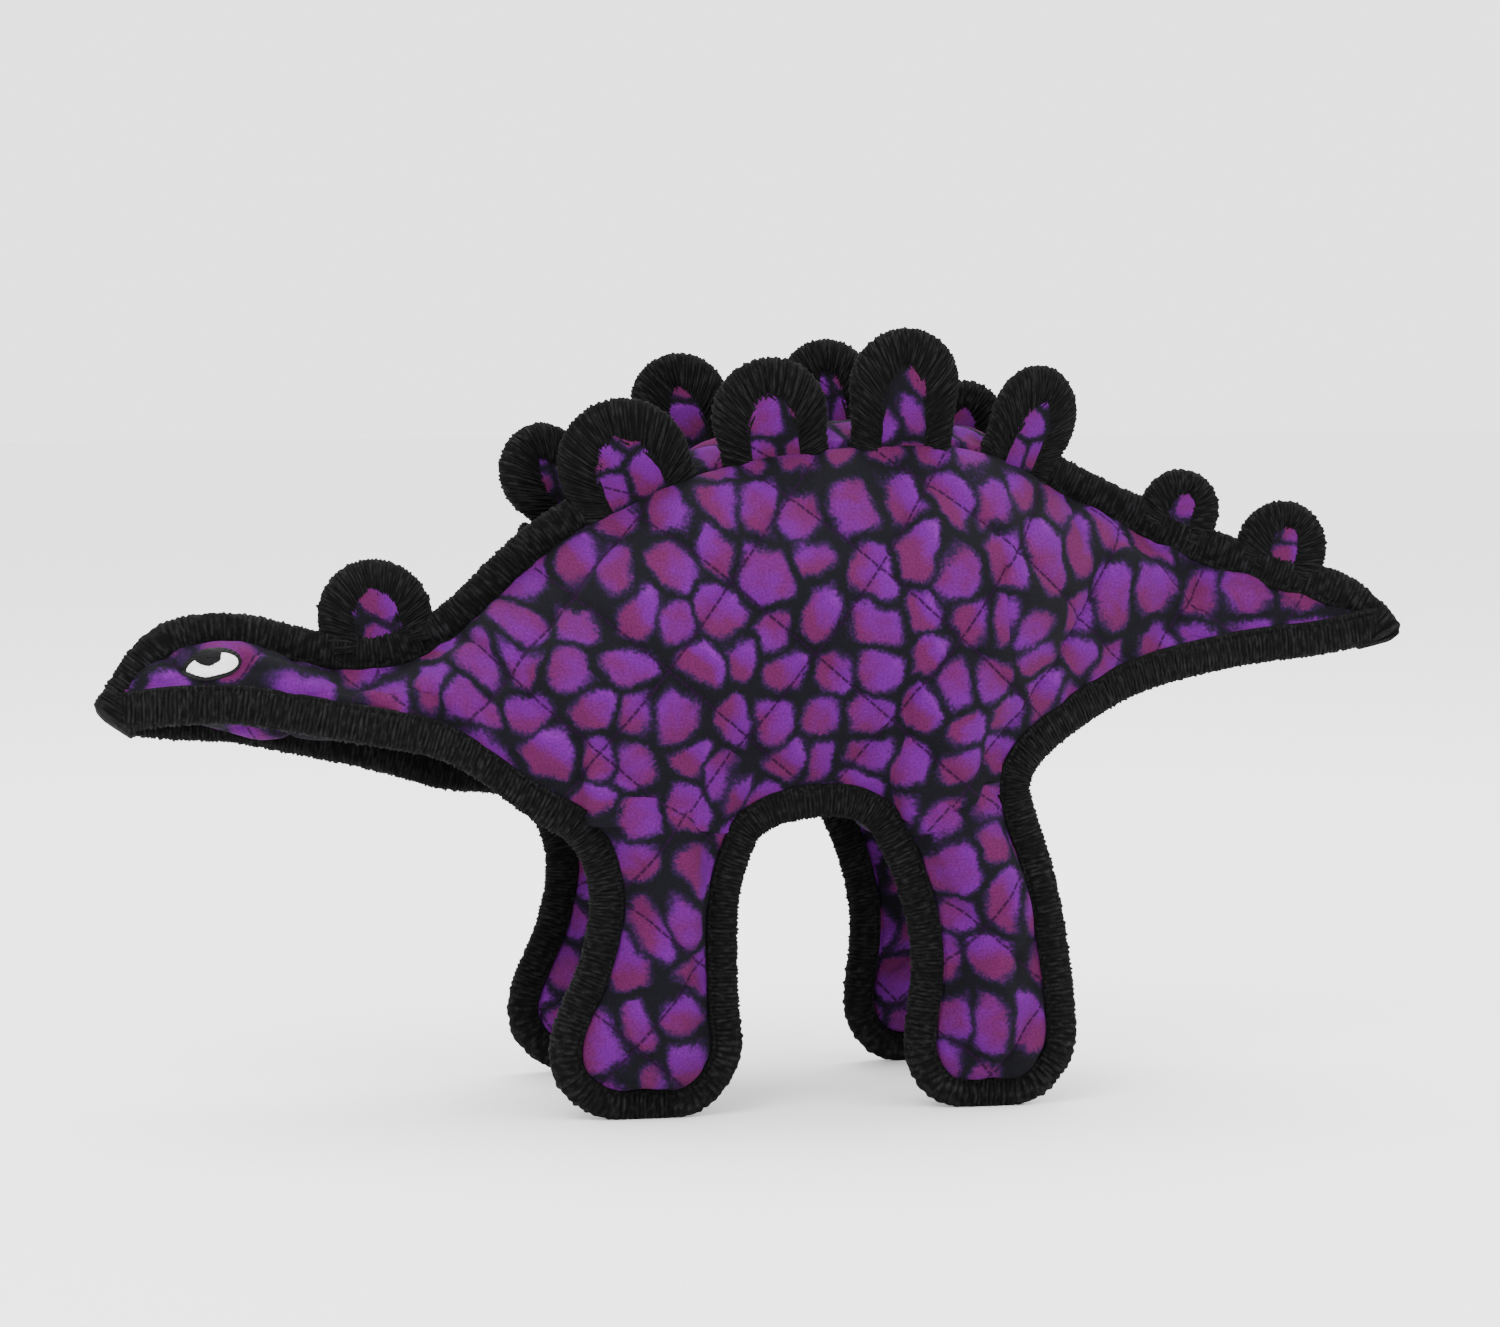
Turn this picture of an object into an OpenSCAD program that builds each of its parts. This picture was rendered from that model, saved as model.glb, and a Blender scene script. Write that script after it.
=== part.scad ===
// Stuffed stegosaurus toy: quilted plush panels joined by outside seams under folded binding tape.
// Millimetres, +Z up. +X runs from the nose to the tail and the left side is -Y.
// The origin is on the ground under the middle of the toy.

/* [Seams] */
// Width of the folded binding tape, from its stitching to its outer edge
tape_w = 11; // [10:0.25:12]
// Thickness of one layer of binding tape
tape_t = 1.2; // [0.9:0.1:1.4]
// Thickness of a quilted panel
panel_t = 1.5; // [1.2:0.1:1.8]
// Slack between layers that lie on each other
slack = 0.2; // [0.15:0.05:0.3]

/* [Body] */
// How far the side panels swell past the line between their seams, at the chest
body_swell = 26; // [18:1:30]
// How far the belly hangs below the lower seams
belly_drop = 8; // [4:1:10]
// How far the head is rolled to the left, in degrees
head_roll = 17; // [0:1:20]

/* [Legs] */
// Distance of each leg's seam from the middle
leg_y = 45; // [40:1:48]
// How far each side of a leg swells out from its seam
leg_swell = 11; // [8:0.5:13]

/* [Plates] */
// Thickness of a plate's quilted core
core_t = 4; // [3:0.5:5]
// Width of the tape around a plate
plate_tape_w = 11; // [9:0.5:12]
// Outward tilt of the two back rows, in degrees
plate_tilt = 8; // [0:1:10]

/* [Squeaker] */
// Radius of the squeaker's bulb
bulb_r = 17; // [15:1:18]
// Length of the squeaker's pouch
pouch_len = 56; // [50:1:60]

/* [Hidden] */
plush = "#8e3a9c";
tape_black = "#151515";
wadding = "#f1efe8";

// Grid steps: along the chin, across a leg, along the arch, along the tail, up the side, across the belly
// and down a leg
chin_n = 15;
leg_n = 6;
arch_n = 8;
tail_n = 13;
side_n = 7;
belly_n = 4;
down_n = 9;
columns = chin_n + leg_n + arch_n + leg_n + tail_n;
front_leg_at = chin_n;
rear_leg_at = chin_n + leg_n + arch_n;

// Seam lines in the side view, as [x, z]
crest_line = [[-209, 137.5], [-205, 142], [-199, 146], [-189, 149.5], [-179, 150.5], [-169, 149.5],
    [-155, 145.5], [-141, 143], [-127, 143], [-115, 146], [-103, 152], [-93, 160], [-84, 169], [-75, 178],
    [-65, 186], [-51, 194], [-33, 202.5], [-11, 209.5], [13, 213], [35, 214.5], [55, 214], [69, 211.5],
    [80, 207], [93, 200.5], [107, 193.5], [121, 187], [136, 180], [151, 173.5], [170, 167], [188, 161.5],
    [208, 155.5]];
chin_line = [[-209, 134], [-200, 134], [-189, 133.8], [-173, 133], [-155, 129.5], [-141, 126.5],
    [-127, 123.6], [-113, 120], [-101, 116], [-91, 112], [-80, 107], [-67, 100]];
leg_tops = [
    [[-67, 100], [-51, 100], [-35, 98.6], [-21, 96]],
    [[37, 94], [47, 97], [57, 99.6], [67, 102]]];
arch_line = [[-21, 96], [-16, 100.5], [-8, 104.5], [1, 106.5], [11, 107.5], [21, 106.5], [29, 103],
    [34, 99], [37, 94]];
tail_line = [[67, 102], [68, 110], [72, 117], [79, 123.5], [88, 129], [99, 134.5], [113, 140.5],
    [129, 145], [145, 148], [161, 150.6], [180, 152.4], [194, 153], [208, 152.5]];
leg_fronts = [
    [[-67, 100], [-60, 91], [-56, 80], [-55, 68], [-57, 55], [-60, 45], [-65, 34], [-68.4, 24],
    [-67.4, 17], [-62, 12.4]],
    [[37, 94], [42, 84], [46, 73], [49, 62], [50.5, 50], [50, 38], [48.5, 27], [48.5, 18], [52, 12.4]]];
leg_backs = [
    [[-21, 96], [-25, 87], [-28, 77], [-29.5, 66], [-29.6, 55], [-29.6, 44], [-29, 32], [-28, 22],
    [-33, 13.4]],
    [[67, 102], [70.5, 90], [74, 80], [77, 69], [79.5, 56], [81.5, 43], [83, 30], [83, 20],
    [78, 13]]];
soles = [
    [[-62, 12.4], [-59, tape_w], [-36.5, tape_w], [-33, 13.4]],
    [[52, 12.4], [55, tape_w], [75, tape_w], [78, 13]]];

// Half widths, and shares of the swell and of the belly's drop, as [x, value]
low_half = [[-209, 3.2], [-201, 9], [-189, 13], [-170, 15], [-155, 16], [-135, 17.5], [-115, 21],
    [-103, 26], [-93, 32], [-81, 39], [-67, leg_y], [67, leg_y], [75, 43], [87, 37], [101, 29], [120, 20],
    [145, 12], [173, 7], [208, 3.2]];
gusset_half = [[-84, 0], [-77, 3], [-69, 8], [-55, 15], [-25, 21], [25, 22], [65, 18], [83, 11], [94, 4],
    [99, 0]];
swell_share = [[-209, 0.03], [-195, 0.2], [-170, 0.24], [-145, 0.25], [-125, 0.33], [-105, 0.46],
    [-85, 0.64], [-65, 0.8], [-35, 0.94], [-5, 1], [35, 0.98], [65, 0.87], [85, 0.7], [105, 0.5],
    [125, 0.34], [155, 0.18], [185, 0.07], [208, 0.02]];
belly_share = [[-209, 0.05], [-170, 0.3], [-115, 0.4], [-75, 0.9], [67, 1], [95, 0.6], [145, 0.2],
    [208, 0.05]];

// The head's roll grows from the shoulder to the throat, about a line through the middle of the neck
roll_from = -80;
roll_to = -118;
roll_z = 141;

// Joint places along the body, and the gap that keeps moving lobes of filling apart
neck_x = -100;
tail_x = 103;
leg_axis_z = [98.5, 98];
lobe_gap = 1.5;
ball_gap = 4;
rim_gap = [8, 11];

// Where the two crest tapes stop and the back gusset's plain seams start
crest_ends = [-78, 98];

// Plates as [x, row, width, height, base width]: row -1 is left, 1 is right and 0 is the middle crest
plates = [[-126, 0, 37, 20, 33], [-61, 1, 32, 31, 22], [-44, -1, 43, 29, 38], [-18, 1, 33, 32, 30],
    [-1, -1, 38, 27, 35], [27, 1, 32, 29, 30], [41, -1, 37, 33, 34], [68, 1, 29, 18, 27],
    [81, -1, 34, 30, 30], [137, 0, 27, 12, 25], [174, 0, 31, 14.5, 28]];
bead_r = 2.2;
skin_rise = 5.3;
tape_rise = 3;

legs = ["front_left", "front_right", "rear_left", "rear_right"];
sides = ["left", "right"];

// ---- Curves ----

function tail_of(list) = [for (i = [1:len(list) - 1]) list[i]];
function reversed(list) = [for (i = [len(list) - 1:-1:0]) list[i]];
function flatten(list) = [for (part = list, item = part) item];
function smooth(t) = let (u = min(1, max(0, t))) u * u * (3 - 2 * u);

// A smooth curve through points, with the given number of steps between each two
function curve(p, steps = 4) = [
    for (i = [0:len(p) - 2], k = [0:steps - 1])
        let (t = k / steps, a = p[max(i - 1, 0)], b = p[i], c = p[i + 1], d = p[min(i + 2, len(p) - 1)])
        0.5 * (2 * b + (c - a) * t + (2 * a - 5 * b + 4 * c - d) * t * t
            + (3 * b - a - 3 * c + d) * t * t * t),
    p[len(p) - 1]];

// n + 1 points along a polyline, spaced evenly or, with an ease over 1, closer towards its end
function evenly(p, n, ease = 1) =
    let (d = [for (i = 0, s = 0; i < len(p); s = s + (i + 1 < len(p) ? norm(p[i + 1] - p[i]) : 0), i = i + 1)
            s],
        xs = [for (i = [0:len(p) - 1]) [d[i], p[i][0]]], zs = [for (i = [0:len(p) - 1]) [d[i], p[i][1]]])
    [for (i = [0:n]) let (s = d[len(d) - 1] * (1 - pow(1 - i / n, ease))) [lookup(s, xs), lookup(s, zs)]];

// The point a share k of the way along an even polyline
function along(p, k) =
    let (i = min(floor(k * (len(p) - 1)), len(p) - 2), r = k * (len(p) - 1) - i) p[i] + r * (p[i + 1] - p[i]);

low_row = concat(evenly(curve(chin_line), chin_n), tail_of(evenly(curve(leg_tops[0]), leg_n)),
    tail_of(evenly(curve(arch_line), arch_n)), tail_of(evenly(curve(leg_tops[1]), leg_n)),
    tail_of(evenly(curve(tail_line), tail_n)));
crest_curve = curve(crest_line);
leg_edges = [for (leg = [0, 1])
    [evenly(curve(leg_fronts[leg]), down_n, 1.6), evenly(curve(leg_backs[leg]), down_n, 1.6),
        evenly(curve(leg_tops[leg]), leg_n), evenly(soles[leg], leg_n)]];

function top_z(x) = lookup(x, crest_curve);
function low_z(x) = lookup(x, low_row);
function lens(c) = pow(max(0, sin(180 * c)), 0.75);

// Swell of a leg where it joins the body, 0 away from the legs
function root_swell(x) =
    let (c = [for (t = leg_tops) (x - t[0][0]) / (t[3][0] - t[0][0])])
    leg_swell * ((c[0] > 0 && c[0] < 1) ? lens(c[0]) : (c[1] > 0 && c[1] < 1) ? lens(c[1]) : 0);

// Rolls a point with the head and neck
function roll_angle(x) = -head_roll * smooth((x - roll_from) / (roll_to - roll_from));
function roll(p) =
    let (a = roll_angle(p[0]), y = p[1], z = p[2] - roll_z)
    [p[0], y * cos(a) - z * sin(a), roll_z + y * sin(a) + z * cos(a)];

// ---- Surfaces around the filling, on the left side ----

// A point of the side at x, a share v of the way up from the lower seam to the upper one
function side_point(x, v) =
    let (y0 = lookup(x, low_half), y1 = lookup(x, gusset_half), swell = body_swell * lookup(x, swell_share))
    [x, -(y0 + (y1 - y0) * v + swell * sin(180 * v) + root_swell(x) * pow(1 - v, 3)),
        low_z(x) + (top_z(x) - low_z(x)) * v];

// Which way the side faces there: outwards, and more upwards near the back gusset
function side_out(x, v) = let (a = 55 * min(1, lookup(x, gusset_half) / 20) * v) [0, -cos(a), sin(a)];

// A point of the belly at x, a share u of the way from the left lower seam to the right one
function belly_point(x, u) =
    let (half = lookup(x, low_half) - root_swell(x))
    [x, half * (2 * u - 1), low_z(x) - belly_drop * lookup(x, belly_share) * sin(180 * u)];

// A point of a left leg's face: c runs from its front seam to its back one, w from its top to the sole
function leg_point(leg, c, w, out) =
    let (e = leg_edges[leg], f = e[0], b = e[1], t = e[2], s = e[3],
        p = (1 - w) * along(t, c) + w * along(s, c) + (1 - c) * along(f, w) + c * along(b, w)
            - (1 - c) * (1 - w) * t[0] - c * (1 - w) * t[leg_n] - (1 - c) * w * s[0] - c * w * s[leg_n])
    [p[0], -leg_y - out * leg_swell * lens(c) * sqrt(max(0, 1 - pow(w, 4))), p[1]];

// ---- Quilted panels as closed shells ----

function quad(a, b, c, d, turned = false) = turned ? [[b, c, d], [b, d, a]] : [[a, b, c], [a, c, d]];

// One long block of columns has `rows` steps across each column. Leg blocks hang from one of its rows.
function cell(i, j, rows) = i * (rows + 1) + j;
function leg_cell(rows, row, n, first, c, w) = w == 0 ? cell(first + c, row, rows)
    : (columns + 1) * (rows + 1) + n * (leg_n + 1) * down_n + c * down_n + w - 1;
function long_faces(rows) = flatten([for (i = [0:columns - 1], j = [0:rows - 1])
    quad(cell(i, j, rows), cell(i + 1, j, rows), cell(i + 1, j + 1, rows), cell(i, j + 1, rows))]);
function leg_faces(rows, row, n, first) = flatten([for (c = [0:leg_n - 1], w = [0:down_n - 1])
    quad(leg_cell(rows, row, n, first, c, w), leg_cell(rows, row, n, first, c, w + 1),
        leg_cell(rows, row, n, first, c + 1, w + 1), leg_cell(rows, row, n, first, c + 1, w))]);
function leg_rim(rows, row, n, first) = concat([for (w = [1:down_n]) leg_cell(rows, row, n, first, 0, w)],
    [for (c = [1:leg_n]) leg_cell(rows, row, n, first, c, down_n)],
    [for (w = [down_n - 1:-1:1]) leg_cell(rows, row, n, first, leg_n, w)]);

// The lower edge of the long block with its two legs, from the nose to the tail tip
function edge_loop(rows, row, n) = concat([for (i = [0:front_leg_at]) cell(i, row, rows)],
    leg_rim(rows, row, n, front_leg_at), [for (i = [front_leg_at + leg_n:rear_leg_at]) cell(i, row, rows)],
    leg_rim(rows, row, n + 1, rear_leg_at), [for (i = [rear_leg_at + leg_n:columns]) cell(i, row, rows)]);

// A panel from the points of its inner surface, the way out at each, and its seam allowance round its edge
// loop, with the way out on it. Where `turned` is true the allowance's quads are split the other way, so
// that two allowances that lie together have the same creases.
module quilted(points, out, faces, loop, away, width, lip_out, turned, right = false) {
    n = len(points);
    k = len(loop);
    lip = [for (i = [0:k - 1]) points[loop[i]] + width[i] * away[i]];
    all = concat(points, points + panel_t * out, lip, lip + panel_t * lip_out);
    shell = concat(faces, [for (f = faces) [f[2] + n, f[1] + n, f[0] + n]],
        flatten([for (i = [0:k - 1]) let (j = (i + 1) % k, t = turned[i]) concat(
            quad(2 * n + i, 2 * n + j, loop[j], loop[i], t),
            quad(2 * n + k + i, 2 * n + k + j, 2 * n + j, 2 * n + i, t),
            quad(n + loop[i], n + loop[j], 2 * n + k + j, 2 * n + k + i, !t))]));
    polyhedron([for (p = all) roll([p[0], right ? -p[1] : p[1], p[2]])],
        right ? [for (f = shell) reversed(f)] : shell, convexity = 10);
}

side_xs = [for (p = low_row) p[0]];
side_points = concat([for (x = side_xs, j = [0:side_n]) side_point(x, j / side_n)],
    [for (leg = [0, 1], c = [0:leg_n], w = [1:down_n]) leg_point(leg, c / leg_n, w / down_n, 1)]);
side_outs = concat([for (x = side_xs, j = [0:side_n]) side_out(x, j / side_n)],
    [for (leg = [0, 1], c = [0:leg_n], w = [1:down_n]) [0, -1, 0]]);
side_loop = concat(edge_loop(side_n, 0, 0), [for (j = [1:side_n]) cell(columns, j, side_n)],
    [for (i = [columns - 1:-1:0]) cell(i, side_n, side_n)], [for (j = [side_n - 1:-1:1]) cell(0, j, side_n)]);
side_edge = [for (i = side_loop) side_points[i]];
low_count = len(edge_loop(side_n, 0, 0));

// Outward in the side view at each point of the side panel's edge
side_away = [for (i = [0:len(side_edge) - 1])
    let (a = side_edge[(i + len(side_edge) - 1) % len(side_edge)], b = side_edge[(i + 1) % len(side_edge)],
        t = [b[0] - a[0], b[2] - a[2]])
    [t[1], 0, -t[0]] / norm(t)];

// Full seam allowance under the tape, and a narrow one along the back gusset and across the underside's ends
allowance = tape_w - tape_t - slack;
narrow_allowance = 0.8;
function at_end(x) = x < side_xs[0] + 1 || x > side_xs[columns] - 1;
function on_gusset(p) = p[2] > 150 && p[0] > crest_ends[0] - 1 && p[0] < crest_ends[1] + 1;

module side_panel(right) {
    color(plush)
        quilted(side_points, side_outs,
            concat(long_faces(side_n), leg_faces(side_n, 0, 0, front_leg_at),
                leg_faces(side_n, 0, 1, rear_leg_at)),
            side_loop, side_away, [for (p = side_edge) on_gusset(p) ? narrow_allowance : allowance],
            [for (i = side_loop) side_outs[i]], [for (p = side_edge) false], right);
}

// The underside: chin, belly and under-tail in one strip with the inner faces of the four legs
under_points = concat([for (x = side_xs, j = [0:belly_n]) belly_point(x, j / belly_n)],
    [for (side = [1, -1], leg = [0, 1], c = [0:leg_n], w = [1:down_n])
        let (p = leg_point(leg, c / leg_n, w / down_n, -1)) [p[0], side * p[1], p[2]]]);
under_lean = 40;        // how far the underside faces down, rather than across, at its two long seams
under_outs = concat([for (x = side_xs, j = [0:belly_n])
        let (a = under_lean + (180 - 2 * under_lean) * j / belly_n) [0, cos(a), -sin(a)]],
    [for (side = [1, -1], leg = [0, 1], c = [0:leg_n], w = [1:down_n]) [0, side, 0]]);
low_away = [for (i = [0:low_count - 1]) side_away[i]];

module under_panel() {
    middle = [for (j = [1:belly_n - 1]) j];
    loop = concat(edge_loop(belly_n, 0, 0), [for (j = middle) cell(columns, j, belly_n)],
        reversed(edge_loop(belly_n, belly_n, 2)), [for (j = reversed(middle)) cell(0, j, belly_n)]);
    away = concat(low_away, [for (j = middle) [1, 0, 0]], reversed(low_away), [for (j = middle) [-1, 0, 0]]);
    color(plush)
        quilted(under_points, under_outs,
            concat([for (f = long_faces(belly_n)) reversed(f)],
                [for (n = [0, 1], f = leg_faces(belly_n, 0, n, [front_leg_at, rear_leg_at][n])) reversed(f)],
                [for (n = [2, 3], f = leg_faces(belly_n, belly_n, n, [front_leg_at, rear_leg_at][n - 2])) f]),
            reversed(loop), reversed(away),
            [for (i = reversed(loop)) let (p = under_points[i]) !at_end(p[0]) ? allowance
                : abs(p[1]) < 3 ? 0.3 : 2 * narrow_allowance],
            concat([for (j = middle) under_outs[cell(0, j, belly_n)]], [for (i = [1:low_count]) [0, -1, 0]],
                [for (j = reversed(middle)) under_outs[cell(columns, j, belly_n)]],
                [for (i = [1:low_count]) [0, 1, 0]]),
            [for (i = reversed(loop)) under_points[i][1] < 0]);
}

// ---- Solids between two grids, and lofts through rings ----

// A closed solid between two grids of the same size, front and back
module slab(front, back) {
    rows = len(front);
    cols = len(front[0]);
    n = rows * cols;
    ring = concat([for (i = [0:rows - 1]) i * cols], [for (j = [1:cols - 1]) (rows - 1) * cols + j],
        [for (i = [rows - 2:-1:0]) i * cols + cols - 1], [for (j = [cols - 2:-1:1]) j]);
    face = flatten([for (i = [0:rows - 2], j = [0:cols - 2])
        quad(i * cols + j, (i + 1) * cols + j, (i + 1) * cols + j + 1, i * cols + j + 1)]);
    polyhedron([for (p = concat(flatten(front), flatten(back))) roll(p)],
        concat(face, [for (f = face) reversed([for (i = f) i + n])],
            flatten([for (i = [0:len(ring) - 1]) let (a = ring[i], b = ring[(i + 1) % len(ring)])
                quad(b, a, a + n, b + n)])),
        convexity = 10);
}

// A closed solid through rings of points, each flat, with flat ends
module loft(rings) {
    n = len(rings[0]);
    m = len(rings);
    polyhedron([for (p = flatten(rings)) roll(p)],
        concat([[for (i = [n - 1:-1:0]) i]], [[for (i = [0:n - 1]) (m - 1) * n + i]],
            flatten([for (k = [0:m - 2], i = [0:n - 1]) let (j = (i + 1) % n)
                quad(k * n + i, k * n + j, (k + 1) * n + j, (k + 1) * n + i)])),
        convexity = 10);
}

module back_gusset() {
    xs = [for (i = [0:columns]) let (x = side_xs[i]) if (x > crest_ends[0] && x < crest_ends[1]) x];
    crown = 3;
    under = [for (x = xs) [for (j = [-2:2]) [x, lookup(x, gusset_half) * j / 2, top_z(x) + crown * cos(45 * j)
        * lookup(x, gusset_half) / 22]]];
    color(plush)
        slab(under, [for (row = under) [for (p = row) p + [0, 0, panel_t]]]);
}

// ---- Binding tape ----

// Folded tape over two panel edges that lie against each other
module tape(points, away, right = false, inner_from = 0.3) {
    in = panel_t + slack;
    out = in + tape_t;
    bevel = 0.8;
    section = [[0.3, -in], [0.3, -out], [tape_w - bevel, -out], [tape_w, bevel - out], [tape_w, out - bevel],
        [tape_w - bevel, out], [inner_from, out], [inner_from, in], [tape_w - tape_t, in],
        [tape_w - tape_t, -in]];
    rings = [for (i = [0:len(points) - 1]) [for (s = section)
        let (p = points[i] + s[0] * away[i] + [0, s[1], 0]) [p[0], right ? -p[1] : p[1], p[2]]]];
    color(tape_black)
        bent_loft(rings, right);
}

// A loft whose end rings are not flat: each end is closed by the section's own quads, and the quads of its
// two sides are split as mirror images
module bent_loft(rings, inside_out) {
    n = 10;
    m = len(rings);
    cap = [[0, 1, 2], [0, 2, 9], [9, 2, 3], [9, 3, 4], [9, 4, 8], [8, 4, 5], [8, 5, 7], [7, 5, 6]];
    shell = concat(cap, [for (f = cap) reversed([for (i = f) i + (m - 1) * n])],
        flatten([for (k = [0:m - 2], i = [0:n - 1]) let (j = (i + 1) % n, left = i < 4 || i == 9)
            quad(k * n + j, k * n + i, (k + 1) * n + i, (k + 1) * n + j, left)]));
    polyhedron([for (p = flatten(rings)) roll(p)], inside_out ? [for (f = shell) reversed(f)] : shell,
        convexity = 10);
}

// Stretches of the lower edge, as first and last places along it
rim_n = 2 * down_n + leg_n - 1;
front_leg_from = front_leg_at;
front_leg_to = front_leg_at + rim_n + 1;
rear_leg_from = front_leg_to + arch_n;
rear_leg_to = rear_leg_from + rim_n + 1;

// On the underside's side a lower tape starts further from the seam, clear of the belly's wall
module edge_tape(places, right = false) {
    count = len(side_edge);
    around = [for (i = places) (i + count) % count];
    tape([for (i = around) side_edge[i]], [for (i = around) side_away[i]], right,
        places[0] < crest_from ? 2.3 : 0.3);
}

// The two crest tapes run from the tail tip to the gusset, and from the gusset to the nose
crest_from = low_count - 1 + side_n;
crest_places = [for (i = [crest_from:crest_from + columns]) i];
crest_rear = [for (i = crest_places) if (side_edge[i][0] > crest_ends[1]) i];
crest_front = [for (i = crest_places) if (side_edge[i][0] < crest_ends[0]) i];

// ---- Filling ----

snug = 0.97;

// The left half of the filling's cross-section at x, from the belly's middle to the back's middle, as [y, z]
function half_section(x) =
    let (low = low_z(x), r = root_swell(x) + lobe_gap, half = lookup(x, low_half), g = lookup(x, gusset_half),
        sharp = 1 - min(1, g / 3), belly = [for (u = [0.5, 0.25]) let (p = belly_point(x, u)) [p[1], p[2]]],
        side = [for (j = [1:side_n - 1]) let (p = side_point(x, j / side_n)) [p[1], p[2]]],
        groove = r > lobe_gap ? [for (a = [25, 65, 110, 150]) [r * cos(a) - half, low + r * sin(a)]]
            : [for (k = [1:4]) belly[1] + (side[0] - belly[1]) * k / 5],
        top = [for (k = [2, 1, 0]) [-max(g, 1.2) * k / 2, top_z(x) - 1.5 * sharp + 3 * g / 22 * cos(45 * k)]])
    concat(belly, groove, side, top);

// A whole cross-section of the filling at x, moved to x_at, with its width scaled
function section(x, x_at, ys = 1, zs = 1) =
    let (left = half_section(x), n = len(left), mid = (low_z(x) + top_z(x)) / 2,
        all = concat(left, [for (i = [n - 2:-1:1]) [-left[i][0], left[i][1]]]))
    [for (p = all) [x_at, p[0] * snug * ys, mid + (p[1] - mid) * snug * zs]];

function half_width(x) = max([for (p = half_section(x)) -p[0]]) * snug;
function stations(from, to) = concat([from], [for (x = side_xs) if (x > from + 1 && x < to - 1) x], [to]);

// Rings of a lobe's rounded end at x, bulging by `dir`, and of the hollow that takes it
turns = [0, 25, 50, 72];
function ball(x, dir) = [for (b = turns) section(x, x + dir * half_width(x) * sin(b), 0.9 * cos(b), 0.95)];
function hollow(x, dir, rim) = [for (b = tail_of(turns))
    section(x + rim * dir, x + dir * ((half_width(x) + lobe_gap) * sin(b) + ball_gap), cos(b))];

// The pouch's pocket is half in the front lobe and half in the rear one
pouch_at = [9, 0, 155];
pouch_r = bulb_r + 2;
function pocket(x_face, x_at) = [for (p = section(x_face, x_at))
    let (a = atan2(p[1], p[2] - pouch_at[2]), r = pouch_r + 0.8)
        [x_at, r * sin(a), pouch_at[2] + r * cos(a)]];

module torso_filling_front() {
    x = pouch_at[0] - 0.15;
    color(wadding)
        loft(concat(reversed(hollow(neck_x, 1, rim_gap[0])),
            [for (s = stations(neck_x + rim_gap[0], x)) section(s, s)],
            [pocket(x, x), pocket(x, x - pouch_len / 2 - 1)]));
}

module torso_filling_rear() {
    x = pouch_at[0] + 0.15;
    color(wadding)
        loft(concat([pocket(x, x + pouch_len / 2 + 1), pocket(x, x)],
            [for (s = stations(x, tail_x - rim_gap[1])) section(s, s)], hollow(tail_x, -1, rim_gap[1])));
}

module head_filling() {
    color(wadding)
        loft(concat([for (s = stations(side_xs[0] + 10, neck_x - 2)) section(s, s, 0.94, 0.94)],
            ball(neck_x, 1)));
}

module tail_filling() {
    color(wadding)
        loft(concat(reversed(ball(tail_x, -1)),
            [for (s = stations(tail_x + 2, side_xs[columns] - 4)) section(s, s, 0.95, 0.96)]));
}

// A leg's lobe is a flat pillow with a rounded top that turns in the torso's groove
module leg_filling(leg, right) {
    fill = 0.83;
    function at(c, k, out) =
        let (last = (leg_point(leg, c, 1, out) + leg_point(leg, c, 1 - 1 / down_n, out)) / 2 + [0, 0, 0.3],
            p = k < 0 ? leg_point(leg, c, 0, out) : k == down_n ? last : leg_point(leg, c, k / down_n, out),
            r = fill * leg_swell * lens(c))
        k < 0 ? [p[0], -leg_y - out * r * cos(-30 * k), p[2] + r * sin(-30 * k)]
            : [p[0], -leg_y + fill * (p[1] + leg_y), p[2]];
    grid = [for (out = [1, -1]) [for (c = [1:leg_n - 1]) [for (k = [-2:down_n])
        let (p = at(c / leg_n, k, out)) [p[0], right ? -p[1] : p[1], p[2]]]]];
    color(wadding)
        slab(right ? grid[1] : grid[0], right ? grid[0] : grid[1]);
}

// ---- Eyes ----

eye_at = [-183, 141.7];
eye_tilt = 10;

// A disc of embroidery on the side of the head, between two heights over the panel
module patch(at, half_long, half_high, low, high, right) {
    n = 18;
    function spot(r, a, lift) =
        let (u = r * half_long * cos(a), w = r * half_high * sin(a),
            x = at[0] + u * cos(eye_tilt) - w * sin(eye_tilt),
            z = at[1] + u * sin(eye_tilt) + w * cos(eye_tilt), v = (z - low_z(x)) / (top_z(x) - low_z(x)),
            p = side_point(x, v) + (panel_t + lift) * side_out(x, v))
        roll([p[0], right ? -p[1] : p[1], p[2]]);
    layer = [for (lift = [low, high]) concat([spot(0, 0, lift)],
        [for (r = [0.5, 1], k = [0:n - 1]) spot(r, 360 * k / n, lift)])];
    m = 2 * n + 1;
    disc = concat([for (k = [0:n - 1]) [0, 1 + k, 1 + (k + 1) % n]],
        flatten([for (k = [0:n - 1]) let (j = (k + 1) % n) quad(1 + k, 1 + n + k, 1 + n + j, 1 + j)]));
    shell = concat(disc, [for (f = disc) reversed([for (i = f) i + m])],
        flatten([for (k = [0:n - 1]) let (a = 1 + n + k, b = 1 + n + (k + 1) % n) quad(b, a, a + m, b + m)]));
    polyhedron(concat(layer[0], layer[1]), right ? [for (f = shell) reversed(f)] : shell, convexity = 4);
}

module eye_white(right) {
    color("white")
        patch(eye_at, 8.4, 4.1, 1.15, 1.6, right);
}

module eye_black(right) {
    color(tape_black) {
        patch(eye_at, 10, 5.6, 0.4, 1, right);
        patch(eye_at + [-1, 1.6], 3.8, 2.1, 1.75, 2.2, right);
    }
}

// ---- Squeaker ----

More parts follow.
